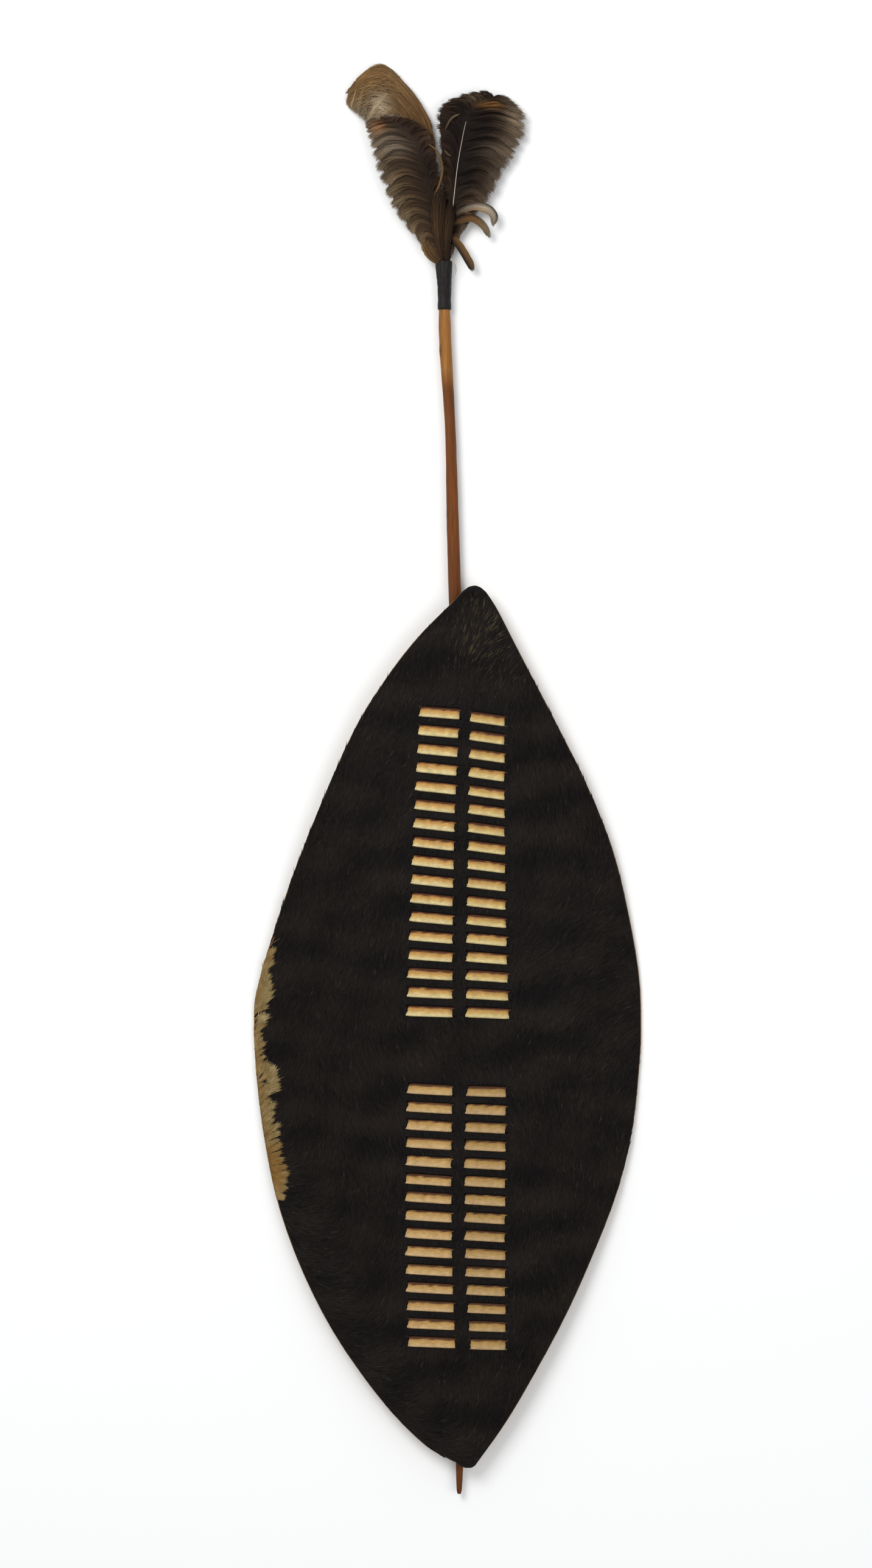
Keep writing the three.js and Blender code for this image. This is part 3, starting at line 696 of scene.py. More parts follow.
def make_lacing():
    material = dried_hide_strip()
    half = 0.7  # half the strip's thickness
    tail = 22
    across = 11
    for seed, (name, strip) in enumerate(STRIPS.items(), start=71):
        rng = np.random.default_rng(seed)
        # The middle line, as s down the strip and z above the hide's back: flat runs joined by
        # short drops through the slits.
        face = HIDE_THICKNESS + 0.3 + half
        back = -0.3 - half
        line = [(-SLIT_REACH - tail, back)]
        for row in range(strip["rows"]):
            middle = row * pitch_of(strip) + rng.normal(0, 0.12)
            rise, fall = middle - SLIT_REACH, middle + SLIT_REACH
            high = rng.uniform(0.2, 0.6)
            line += [(rise - 2.0, back), (rise, back), (rise, face - 0.3), (rise + 1.6, face + 0.1)]
            line += [(middle, face + high * 0.6), (fall - 1.6, face + high), (fall, face + high - 0.1)]
            line += [(fall, back), (fall + 2.0, back)]
        line.append((line[-1][0] + tail, back))
        line = cut_corners(cut_corners(np.array(line)))
        ds = np.gradient(line, axis=0)
        normal = np.stack([-ds[:, 1], ds[:, 0]], -1)
        normal /= np.linalg.norm(normal, axis=1, keepdims=True)
        stations = len(line)
        path = np.concatenate([[0], np.cumsum(np.linalg.norm(np.diff(line, axis=0), axis=1))])
        phase = (line[:, 0] + pitch_of(strip) / 2) % pitch_of(strip) - pitch_of(strip) / 2
        # Edges wander by half a millimetre. The left one slants, and the right one keeps a spur
        # where it comes up out of the slit.
        width = strip["right"][1] - strip["left"][1]
        zero = 0 * path
        wander = 0.3 * swell(path, zero, 14, seed) + 0.2 * swell(path, zero, 4, seed + 9)
        fray = 0.4 * swell(path, zero, 11, seed + 20) + 0.3 * swell(path, zero, 3.2, seed + 29)
        slant = -1.1 * np.clip(phase / SLIT_REACH, -1, 1)
        spur = 2.6 * np.exp(-(((phase + 4.4) / 0.7) ** 2)) - 0.3
        low = (fray + slant) / width
        high = 1 + (wander + spur) / width
        u = np.linspace(0, 1, across)
        u = low[:, None] + (high - low)[:, None] * u
        cup = -0.25 * (2 * np.linspace(0, 1, across) - 1) ** 4

        def layer(offset, edge):
            s = line[:, 0, None] + normal[:, 0, None] * offset * edge
            z = line[:, 1, None] + normal[:, 1, None] * offset * edge
            x, y = on_strip(strip, u, s)
            base = face_height(x, y) - HIDE_THICKNESS
            return np.stack([x, y, base + z + cup], -1)

        edge = np.ones(across)
        edge[[0, -1]] = 0.45
        top = layer(half, edge)
        under = layer(-half, edge)
        rings = np.concatenate([top[:, ::-1], under], axis=1)
        # Colour down each crossing: dark brown at the upper slit, a painted shade under the slit's edge,
        # then tan, golden, and cream where the strip bends down to the lower slit. Each boundary is ragged.
        row = np.clip(np.round(line[:, 0] / pitch_of(strip)), 0, strip["rows"] - 1).astype(int)
        row_tone = rng.uniform(-0.6, 0.6, strip["rows"])[row][:, None]
        on_face = (line[:, 1] > HIDE_THICKNESS)[:, None]
        x_top = top[..., 0]
        jag = 0.45 * swell(x_top, 37.0 * row[:, None] + 0 * x_top, 7, seed + 40)
        jag = jag + 0.3 * swell(x_top, 23.0 * row[:, None] + 0 * x_top, 2.2, seed + 41)
        place = phase[:, None] + jag + row_tone
        bands = {
            "lacing_upper_left": ("#4a2610", "#b07f42", "#c39c58", "#d2c08c"),
            "lacing_upper_right": ("#4a2610", "#a97c42", "#bd9a56", "#cdba84"),
            "lacing_lower_left": ("#4a2a14", "#ac8348", "#b8945a", "#c0a173"),
            "lacing_lower_right": ("#462812", "#9c783f", "#a98750", "#b3956a"),
        }[name]
        stops = np.array([-3.9, -2.6, 0.2, 3.4])
        bands = np.array([linear(colour)[:3] for colour in bands])
        colour = np.stack([np.interp(place, stops, bands[:, i]) for i in range(3)], -1)
        # The runs behind the hide are painted a fifth darker than those on the face, as painted shade.
        lit = np.where(on_face, 1.0, 0.8)[..., None]
        colour = colour * lit
        tint = np.concatenate([colour[:, ::-1], colour], axis=1)
        faces = tube_faces(stations, 2 * across)
        add_piece(name + "_strip", rings, faces, material, replaces=(name,),
                  tint=tint.reshape(-1, 3))


make_lacing()


# ---- Stick ------------------------------------------------------------------------------------
# A straight-grown sapling, barked, scraped round with a knife and rubbed with fat. It is light
# where it was whittled thinner near the head and dark red-brown from handling below.


def rings_of(node):
    """y, middle x, middle z and radius of the rings of points that a turned node is made of."""
    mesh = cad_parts[node].data
    points = np.empty(len(mesh.vertices) * 3)
    mesh.vertices.foreach_get("co", points)
    points = points.reshape(-1, 3) * 1000 - (0, FOOT_Y, 0)
    levels = np.unique(np.round(points[:, 1], 2))
    found = []
    for level in levels:
        ring = points[np.abs(points[:, 1] - level) < 0.02]
        low, high = ring.min(0), ring.max(0)
        radius = (high[2] - low[2]) / 2
        if radius > 1:
            found.append((level, (low[0] + high[0]) / 2, (low[2] + high[2]) / 2, radius))
    return np.array(found).T


def smooth_along(values, reach):
    """A running average over reach steps each way, with the ends repeated."""
    padded = np.pad(values, reach, mode="edge")
    return np.convolve(padded, np.ones(2 * reach + 1) / (2 * reach + 1), "valid")


def handled_wood():
    """Barked hardwood under skin fat: long dark grain, pores, and a satin shine where it is held."""
    along = (1.0, 0.035, 1.0)
    return streaked(
        "handled_hardwood",
        # Grain: streaks about 1 mm wide and 30 mm long, over bands four times as wide.
        grain=(along, 1000, 5, 0.62, 0.25, 0.75, 0.62, 1.22),
        stains=(along, 260, 3, 0.5, 0.3, 0.7, 0.78, 1.15),
        bump=(0.25, 0.0003), **{"Roughness": 0.5, "Specular IOR Level": 0.12},
    )


def make_stick():
    level, middle_x, middle_z, radius = rings_of("stick")
    around, step = 40, 3.5
    y = np.arange(level[0], level[-1] + step, step)
    y[-1] = level[-1]
    cx = smooth_along(np.interp(y, level, middle_x), 5)
    cz = np.interp(y, level, middle_z)
    r = smooth_along(np.interp(y, level, radius), 2)
    r[0] = radius[0] * 0.8
    turn = np.linspace(0, 2 * np.pi, around, endpoint=False)[None, :]
    yy = y[:, None]
    # Whittled facets that fade in and out, and slight swellings where twigs were cut off.
    facets = 0.012 * np.cos(9 * turn + 2.2 * np.sin(yy / 90)) * (0.5 + 0.5 * np.sin(yy / 41))
    twigs = np.array([[1158, 0.7], [1032, 2.6], [905, 4.4], [655, 1.9], [430, 5.3], [262, 0.4], [1205, 3.4]])
    knots = np.zeros((len(y), around))
    for at, way in twigs:
        near = np.cos(turn - way)
        knots += 0.09 * np.exp(-(((yy - at) / 6) ** 2)) * np.exp((near - 1) * 6)
    wobble = 0.012 * swell(yy + 0 * turn, 8 * np.cos(turn) + 0 * yy, 30, 81)
    rr = r[:, None] * (1 + facets + knots + wobble)
    rings = np.stack([cx[:, None] + rr * np.cos(turn), yy + 0 * turn, cz[:, None] - rr * np.sin(turn)], -1)
    rings[..., 2] = np.maximum(rings[..., 2], 0.15)
    light, russet, dark = (np.array(linear(c)[:3]) for c in ("#93622f", "#6d3d1a", "#5c3212"))
    near_head = np.clip((yy + 9 * np.sin(turn) - 1155) / 22, 0, 1)[..., None]
    lower = np.clip((1010 - yy - 0 * turn) / 90, 0, 1)[..., None]
    colour = russet * (1 - lower) + dark * lower
    colour = light * near_head + colour * (1 - near_head)
    colour = colour * (1 - 0.45 * np.clip(knots / 0.06, 0, 1))[..., None]
    add_piece(
        "stick_wood", rings, tube_faces(len(y), around), handled_wood(),
        replaces=("stick",), tint=colour.reshape(-1, 3),
    )


make_stick()


# ---- Stick laces ------------------------------------------------------------------------------
# Six rawhide thongs on the back. Each goes once round the stick, and its ends are tucked flat
# between the hide and the strips, where it dried hard.


def mottled(name, stretch, scale, dark, light, bump, **shader_inputs):
    """A material that one noise mottles from dark to light, each a place in the noise and a
    colour, and raises by bump's strength and its distance in metres."""
    material, tree, shader = start_material(name, **shader_inputs)
    where = add_node(tree, "ShaderNodeTexCoord").outputs["Object"]
    placed = add_node(tree, "ShaderNodeMapping", {"Vector": where, "Scale": stretch})
    noise = add_node(tree, "ShaderNodeTexNoise", {
        "Vector": placed.outputs["Vector"], "Scale": scale, "Detail": 5, "Roughness": 0.6,
    }).outputs["Fac"]
    mixed = add_node(tree, "ShaderNodeValToRGB", {"Fac": noise})
    for stop, (place, colour) in zip(mixed.color_ramp.elements, (dark, light)):
        stop.position = place
        stop.color = linear(colour)
    tree.links.new(mixed.outputs["Color"], shader.inputs["Base Color"])
    raised = add_node(tree, "ShaderNodeBump", {"Height": noise, "Strength": bump[0], "Distance": bump[1]})
    tree.links.new(raised.outputs["Normal"], shader.inputs["Normal"])
    return material


def rawhide():
    """Rawhide dried in place: hard, waxy and uneven, in blotches about 4 mm across."""
    return mottled("rawhide_thong", (1.0, 1.0, 1.0), 250, (0.3, "#7d5a31"), (0.7, "#c2a06a"),
                   (0.5, 0.0005), Roughness=0.55)


def make_stick_laces():
    material = rawhide()
    for number in range(1, 7):
        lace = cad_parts[f"stick_lace_{number}"]
        lace.data.materials.clear()
        lace.data.materials.append(material)


make_stick_laces()


# ---- Sleeve -----------------------------------------------------------------------------------
# A tube of black skin drawn wet over the quills and the stick's head, where it shrank into long
# wrinkles. A turned-in band finishes its foot.


def shrunk_skin():
    """Black skin shrunk on: dull, with fine wrinkles about 1 mm apart, painted greyer on their crests and
    darker in their hollows as painted highlight and shade.
    """
    return mottled(
        "shrunk_black_skin", (1.0, 0.2, 1.0), 900, (0.32, "#0b0909"), (0.72, "#26211f"), (0.6, 0.0006),
        **{"Roughness": 0.5, "Specular IOR Level": 0.16},
    )


def make_sleeve():
    low, high = (np.array(corner) * 1000 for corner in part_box("binding_sleeve"))
    foot, head = low[1] - FOOT_Y, high[1] - FOOT_Y
    level, middle_x, middle_z, _ = rings_of("stick")
    y = np.linspace(foot, head, 60)
    cx = np.interp(y, level, middle_x, right=-3.4)
    cz = middle_z[0]
    around = 72
    turn = np.linspace(0, 2 * np.pi, around, endpoint=False)[None, :]
    share = ((y - foot) / (head - foot))[:, None]
    profile = np.array([
        [0, 6.6], [0.02, 7.2], [0.12, 7.2], [0.2, 6.7], [0.35, 6.8], [0.65, 7.4], [0.85, 7.9], [1, 8.1],
    ])
    base = np.interp(share, profile[:, 0], profile[:, 1])
    # Long wrinkles that wander and die away towards the foot band, and two cross creases.
    yy = y[:, None]
    wander = turn + 0.18 * np.sin(yy / 9 + 2 * turn)
    ridges = 0.22 * np.sin(11 * wander + 1.3) + 0.16 * np.sin(17 * wander + 0.05 * yy)
    ridges = (ridges + 0.1 * np.sin(29 * wander)) * np.clip((share - 0.14) / 0.2, 0.1, 1)
    creases = -0.25 * np.exp(-(((share - 0.47) / 0.02) ** 2)) - 0.25 * np.exp(-(((share - 0.62) / 0.02) ** 2))
    outer = base + ridges + creases
    # It flares at the head, mostly to the left, where the quills push it out.
    flare = 1 + 0.16 * share**2 * (0.5 - 0.5 * np.cos(turn))
    outer_ring = np.stack(
        [cx[:, None] + outer * flare * np.cos(turn), yy + 0 * turn, cz - outer * np.sin(turn)], -1
    )
    inner_r = np.full((len(y), 1), 6.0)
    inner_ring = np.stack(
        [cx[:, None] + inner_r * np.cos(turn), yy + 0 * turn, cz - inner_r * np.sin(turn)], -1
    )
    rings = np.concatenate([outer_ring, inner_ring[::-1]])
    rings[..., 2] = np.maximum(rings[..., 2], 0.1)
    # The rings run up the outside and down the inside, and the last joins the first.
    count = len(rings)
    index = np.arange(count * around).reshape(count, around)
    index = np.concatenate([index, index[:1]])
    a, b = index[:-1], np.roll(index[:-1], -1, axis=1)
    c, d = np.roll(index[1:], -1, axis=1), index[1:]
    walls = np.stack([a, b, c, d], -1).reshape(-1, 4)
    add_piece("sleeve_skin", rings, [walls], shrunk_skin(), replaces=("binding_sleeve",))


make_sleeve()


# ---- Plumes -----------------------------------------------------------------------------------
# Three ostrich plumes, their quills pushed into the sleeve. The soft barbs leave both sides of a
# quill, cling together in flues and locks, arch over and hang; a matted body lies under them.


def follow(table, at):
    """Rows of a table read at fractional places: a cubic between rows, with the slope at each row
    taken from the rows on either side of it."""
    table = np.asarray(table, float)
    slope = np.gradient(table, axis=0)
    i = np.clip(np.floor(at).astype(int), 0, len(table) - 2)
    t = (at - i)[..., None]
    rise = table[i + 1] - table[i]
    a = slope[i] - rise
    b = rise - slope[i + 1]
    return table[i] + rise * t + t * (1 - t) * (a * (1 - t) + b * t)


def vane_point(vane, at, u, w):
    """Points of a vane. at runs up its rows; u runs from its left edge (-1) over the quill (0) to
    its right edge (1), and w from its back (-1) to its front (1), thinning to the edges."""
    row = follow(vane, at)
    left, quill, right = row[..., 0:2], row[..., 2:4], row[..., 4:6]
    edge = np.where(u[..., None] < 0, left, right)
    flat = quill + (edge - quill) * np.abs(u)[..., None]
    z = row[..., 6] + row[..., 7] * w * np.sqrt(np.clip(1 - 0.8 * u**2, 0.05, 1))
    return np.concatenate([flat, z[..., None]], -1)


def barb_paths(vane, side, count, rng, flues, lock, gather=0.5, rise=0.4, fall=0.4, first=1.1,
               stations=9, dome=0.3):
    """Barbs of one side of a vane, from the quill to its edge, climbing by rise rows and falling
    back by fall rows. Those of a flue end together, and flues lean to the middle of their lock.

    Returns at, u and w (barb, station), and each barb's flue number and place in its lock.
    """
    last = len(vane) - 1
    t = np.linspace(0, 1, stations)[None, :]
    start = rng.uniform(first, last - 0.05, count)
    flue = np.floor(start / last * flues).astype(int)
    flue_at = (flue + 0.5) * last / flues
    in_lock = (flue_at / lock) % 1
    aim = flue_at + gather * (0.35 - in_lock) * lock + rng.normal(0, 0.05, count)
    top_room = np.clip((last - start) / 2.5, 0.1, 1)
    layer = 0.65 * rng.uniform(-1, 1, flues + 1)[flue] + 0.35 * rng.uniform(-1, 1, count)
    reach = rng.uniform(0.86, 1.02, count) * rng.uniform(0.93, 1.0, flues + 1)[flue]
    u = side * reach[:, None] * t**0.9
    climb = rise * top_room[:, None] * np.sin(0.5 * np.pi * np.minimum(1, t / 0.6))
    at = start[:, None] + (aim - start)[:, None] * t**1.4 + climb - fall * t**2.6
    crest = np.cos(2 * np.pi * (in_lock - 0.35))[:, None]
    arch = np.sin(np.pi * t**0.8)
    w = layer[:, None] * (0.3 + 0.7 * t) + (0.45 + dome * crest) * arch + 0.15
    behind = rng.random((count, 1)) < 0.22
    w = np.where(behind, -w, w)
    return np.clip(at, 0, last), u, w, flue, in_lock


def long_paths(vane, count, rng, u_from, u_drift, reach, first=1.1, height=0.95, stations=9):
    """Barbs that lie along a vane instead of across it: from a place at u_from, drifting aside by
    u_drift while they run up by reach rows."""
    last = len(vane) - 1
    t = np.linspace(0, 1, stations)[None, :]
    start = rng.uniform(first, last - 0.3, count)
    u0 = rng.uniform(*u_from, count)
    drift = rng.normal(*u_drift, count)
    run = np.minimum(rng.uniform(*reach, count), last - start)
    at = start[:, None] + run[:, None] * t
    u = np.clip(u0[:, None] + drift[:, None] * t**1.5, -1, 1)
    w = height + rng.normal(0, 0.12, count)[:, None] + 0.15 * np.sin(np.pi * t) - 0.3 * t**3
    flue = rng.integers(0, 60, count)
    return at, u, w, flue, np.full(count, 0.35)


def tuft_paths(line, widths, count, rng, flat=0.6, stations=11, ragged=0.1):
    """Strands side by side in a curled lock: a centre line of points, and the lock's width at its
    root, middle and tip. Its end is rounded. Returns lines and each strand's place across."""
    table = np.asarray(line, float)
    across = rng.uniform(-1, 1, count)
    above = rng.uniform(-1, 1, count) * np.sqrt(1 - 0.8 * across**2)
    end = 1 - 0.12 * across**2 - ragged * rng.random(count)
    t = np.linspace(0, 1, stations)[None, :] * end[:, None]
    centre = follow(table, t * (len(table) - 1))
    _, side, _ = directions(np.gradient(centre, axis=1))
    half = 0.5 * through(widths, t)
    lines = centre + side * (across[:, None] * half)[..., None]
    lines[..., 2] += above[:, None] * half * flat
    return lines, across


def frizz(lines, amount, rng, stray=0.12):
    """Waves that grow towards the tips; a share of the strands, the strays, wave three times more."""
    count, stations = lines.shape[:2]
    t = np.linspace(0, 1, stations)[None, :, None]
    pace = rng.uniform(5, 13, (count, 1, 3))
    start = rng.uniform(0, 2 * np.pi, (count, 1, 3))
    size = amount * np.where(rng.random((count, 1, 1)) < stray, 3.0, 1.0)
    return lines + size * t**1.3 * np.sin(pace * t + start) * np.array([1, 1, 0.7])


def directions(ahead):
    """The unit vectors ahead, to the side and up for any array of directions."""
    ahead = ahead / (np.linalg.norm(ahead, axis=-1, keepdims=True) + 1e-9)
    side = np.cross(ahead, np.array([0.0, 0.0, 1.0]))
    side /= np.linalg.norm(side, axis=-1, keepdims=True) + 1e-9
    return ahead, side, np.cross(side, ahead)


def ribbons(lines, width, rng, roll=0.55):
    """Flat tapered strands along lines (strand, station, xyz), each rolled a little about itself."""
    count, stations = lines.shape[:2]
    _, side, up = directions(np.gradient(lines, axis=1))
    lean = rng.normal(0, roll, (count, 1, 1))
    across = side * np.cos(lean) + up * np.sin(lean)
    t = np.linspace(0, 1, stations)
    profile = np.minimum(1, 0.55 + 2.5 * t) * (1 - 0.8 * t**4)
    half = 0.5 * width * rng.uniform(0.7, 1.3, (count, 1, 1)) * profile[None, :, None]
    points = np.stack([lines + across * half, lines - across * half], 2)
    index = np.arange(count * stations * 2).reshape(count, stations, 2)
    a, b = index[:, :-1, 0], index[:, 1:, 0]
    c, d = index[:, 1:, 1], index[:, :-1, 1]
    return points.reshape(-1, 3), np.stack([a, b, c, d], -1).reshape(-1, 4)


def down(lines, colours, per_strand, length, rng, first=0.2):
    """Down along strands: thin three-cornered wisps that lean forward and out.

    Returns points, faces and tints."""
    count, stations = lines.shape[:2]
    at = rng.uniform(first, 0.99, (count, per_strand)) * (stations - 1)
    i = np.clip(at.astype(int), 0, stations - 2)
    t = (at - i)[..., None]
    row = np.arange(count)[:, None]
    here = lines[row, i] * (1 - t) + lines[row, i + 1] * t
    ahead, side, up = directions(lines[row, i + 1] - lines[row, i])
    turn = rng.uniform(0, 2 * np.pi, (count, per_strand, 1))
    out = side * np.cos(turn) + up * np.sin(turn) * 0.6
    reach = out + ahead * rng.uniform(1.0, 2.4, (count, per_strand, 1))
    reach /= np.linalg.norm(reach, axis=2, keepdims=True)
    tip = here + reach * length * rng.uniform(0.5, 1.2, (count, per_strand, 1))
    half = 0.16  # half the width of a wisp's foot
    points = np.stack([here - ahead * half, here + ahead * half, tip], 2)
    tint = colours[row, i] * rng.uniform(0.8, 1.2, (count, per_strand, 1))
    # Each wisp is painted a little darker at its foot and lighter at its tip, as painted shade and highlight.
    tints = np.stack([tint * 0.95, tint * 0.95, tint * 1.1], 2)
    faces = np.arange(count * per_strand * 3).reshape(-1, 3)
    return points.reshape(-1, 3), faces, tints.reshape(-1, 3)


def vane_core(vane, inset, thick, first=0.8, rings=64, around=28):
    """The matted body inside a vane: lens-shaped rings from its foot to its tip, closed by caps,
    and shaggy along the barbs."""
    last = len(vane) - 1
    at = np.linspace(first, last - 0.25, rings)[:, None]
    turn = np.linspace(0, 2 * np.pi, around, endpoint=False)[None, :]
    close = np.clip((last - 0.2 - at) / 0.8, 0.25, 1) ** 0.5
    u = np.cos(turn) * (1 - inset) * close
    w = -np.sin(turn) * thick * (1 + 0.12 * np.sin(9 * at + 3 * np.cos(turn)))
    at_grid, u, w = np.broadcast_arrays(at, u, w)
    points = vane_point(vane, at_grid, u, w)
    return points, tube_faces(rings, around), np.abs(u)


def ramp(colours, t):
    """Colours along t from 0 to 1, evenly spaced."""
    stops = np.linspace(0, 1, len(colours))
    table = np.array([linear(colour)[:3] for colour in colours])
    return np.stack([np.interp(t, stops, table[:, i]) for i in range(3)], -1)


def with_zones(points, colours, zones):
    """Colours drawn towards each zone's own: x, y, half width, half height, colour, strength."""
    for x, y, wide, high, colour, strength in zones:
        near = np.exp(-(((points[..., 0] - x) / wide) ** 2) - ((points[..., 1] - y) / high) ** 2)
        near = (near * strength)[..., None]
        colours = colours * (1 - near) + np.array(linear(colour)[:3]) * near
    return colours


def ostrich_barbs(name):
    """Ostrich barbs and down: keratin, matt, with the faint bloom of down where light grazes it."""
    material, tree, shader = start_material(
        name, **{"Roughness": 0.75, "Specular IOR Level": 0.1, "Sheen Weight": 0.08, "Sheen Roughness": 0.5}
    )
    tint = add_node(tree, "ShaderNodeAttribute", attribute_name="tint")
    tree.links.new(tint.outputs["Color"], shader.inputs["Base Color"])
    return material


def quill_strand(vane, upto, radius, colour, lift):
    """The bare quill: a six-sided tapering rod up the front of the vane."""
    around, stations = 6, 40
    at = np.linspace(0, upto, stations)
    line = vane_point(vane, at, 0 * at, 0 * at + lift)
    _, side, _ = directions(np.gradient(line, axis=0))
    turn = np.linspace(0, 2 * np.pi, around, endpoint=False)
    size = np.linspace(radius, 0.22, stations)[:, None, None]
    up = np.array([0, 0, 1.0])
    rings = line[:, None] + size * (
        side[:, None] * np.cos(turn)[None, :, None] + up * -np.sin(turn)[None, :, None]
    )
    tints = np.tile(linear(colour)[:3], (stations * around, 1))
    return rings.reshape(-1, 3), tube_faces(stations, around), tints


def make_plume(name, node, vane, core_colours, sets, zones, tufts=(), quill=None, seed=0):
    """Puts a plume together from its core, its sets of barbs, its curled tufts and its quill.

    A row of vane is its left edge, quill and right edge as x and y, the height of its middle and
    half its thickness. A set is its side (0 for barbs along the vane), count, colours from root
    to tip, strand width, size of its waves, wisps of down on each strand, and options of its
    paths. A tuft is its centre line, widths, count, and the colours of one side, its middle and
    the other side, from root to tip. quill is how far up it goes, its radius, colour and lift.
    """
    rng = np.random.default_rng(seed)
    vane = np.array([[*left, *middle, *right, z, half] for left, middle, right, z, half in vane], float)
    parts = []
    core, core_faces, spread = vane_core(vane, 0.14, 0.5)
    core_tint = with_zones(core, ramp(core_colours, spread), zones)
    parts.append((core.reshape(-1, 3), core_faces, core_tint.reshape(-1, 3)))
    for kind, count, palette, width, curl, wisps, options in sets:
        make_paths = barb_paths if kind in (-1, 1) else long_paths
        arguments = (vane, kind, count, rng) if kind in (-1, 1) else (vane, count, rng)
        at, u, w, flue, in_lock = make_paths(*arguments, **options)
        lines = frizz(vane_point(vane, at, u, w), curl, rng)
        t = np.linspace(0, 1, lines.shape[1])[None, :] + 0 * at
        colours = with_zones(lines, ramp(palette, t), zones)
        flue_tone = rng.uniform(0.72, 1.28, flue.max() + 1)[flue]
        # Each barb is painted lighter at its lock's crest and darker between locks, as painted highlight and
        # shade.
        lock_crest_light_and_shade = 1 + 0.28 * np.cos(2 * np.pi * (in_lock - 0.3))
        tone = flue_tone * lock_crest_light_and_shade * rng.uniform(0.8, 1.2, count)
        colours = colours * tone[:, None, None]
        points, faces = ribbons(lines, width, rng)
        parts.append((points, [faces], np.repeat(colours, 2, axis=1).reshape(-1, 3)))
        if wisps:
            fluff, fluff_faces, fluff_tints = down(lines, colours, wisps, 2.6, rng)
            parts.append((fluff, [fluff_faces], fluff_tints))
    for line, widths, count, one_side, middle, other_side in tufts:
        lines, across = tuft_paths(line, widths, count, rng)
        lines = frizz(lines, 0.06 * max(widths), rng, 0.1)
        t = np.linspace(0, 1, lines.shape[1])[None, :] + 0 * across[:, None]
        share = across[:, None, None]
        centre = ramp(middle, t)
        beside = np.where(share < 0, ramp(one_side, t), ramp(other_side, t))
        colours = centre + (beside - centre) * np.abs(share)
        colours = colours * rng.uniform(0.8, 1.2, (count, 1, 1))
        points, faces = ribbons(lines, 0.6, rng, 0.8)
        parts.append((points, [faces], np.repeat(colours, 2, axis=1).reshape(-1, 3)))
    if quill:
        parts.append(quill_strand(vane, *quill))
    points, faces, tints, first = [], [], [], 0
    for part_points, part_faces, part_tints in parts:
        points.append(part_points)
        faces += [np.asarray(face) + first for face in part_faces]
        tints.append(part_tints)
        first += len(part_points)
    points = np.concatenate(points)
    points[:, 2] = np.maximum(points[:, 2], 0.25)
    add_piece(name, points, faces, ostrich_barbs(name + "_barbs"), replaces=(node,),
              tint=np.clip(np.concatenate(tints), 0, 1))


ROOT_Y = 1290  # the foot of all three, inside the sleeve

make_plume(
    "tall_plume", "plume_left_tall", seed=101,
    vane=[
        [(-8.1, ROOT_Y), (-5.9, ROOT_Y), (-3.7, ROOT_Y), 7, 2.2],
        [(-8.7, 1300), (-6.3, 1300), (-4.2, 1300), 6.8, 2.2],
        [(-28, 1326), (-12.5, 1330), (-6.5, 1331), 5.6, 4],
        [(-46, 1352), (-17.6, 1358), (-9, 1362), 5.6, 4.6],
        [(-58, 1382), (-23, 1398), (-11.5, 1404), 5.8, 4.8],
        [(-68, 1410), (-29, 1431), (-14.5, 1438), 5.8, 5],
        [(-77, 1430), (-37, 1457), (-26, 1464), 5.8, 5],
        [(-84, 1441), (-51, 1481), (-44, 1487), 6, 5],
        [(-92, 1450), (-69, 1495), (-67, 1507), 6, 4.8],
        [(-100, 1457), (-88, 1493), (-88, 1499), 6, 4.2],
        [(-107, 1465), (-104, 1478), (-108, 1476), 6, 3],
    ],
    core_colours=("#5d4429", "#6b5236", "#83694a"),
    sets=[
        (-1, 3600, ("#5f482e", "#725a3b", "#816d52", "#8f806a"), 0.62, 0.7, 3,
         dict(flues=110, lock=0.7, gather=0.3, rise=0.25, fall=0.1)),
        (1, 1600, ("#5d462d", "#6b5337", "#766044"), 0.6, 0.6, 3,
         dict(flues=110, lock=0.7, gather=0.3, rise=0.2, fall=0.1)),
        (0, 2200, ("#4d3822", "#664e31", "#745c3c"), 0.62, 0.6, 1,
         dict(u_from=(-0.55, 0.95), u_drift=(-0.25, 0.15), reach=(1.2, 2.6))),
    ],
    zones=(
        (-29, 1455, 24, 26, "#573d22", 0.75), (-14, 1415, 14, 30, "#412c19", 0.8),
        (-72, 1462, 10, 15, "#a09077", 0.75), (-80, 1492, 24, 10, "#80603a", 0.6),
        (-104, 1462, 9, 9, "#8d7250", 0.6),
    ),
)

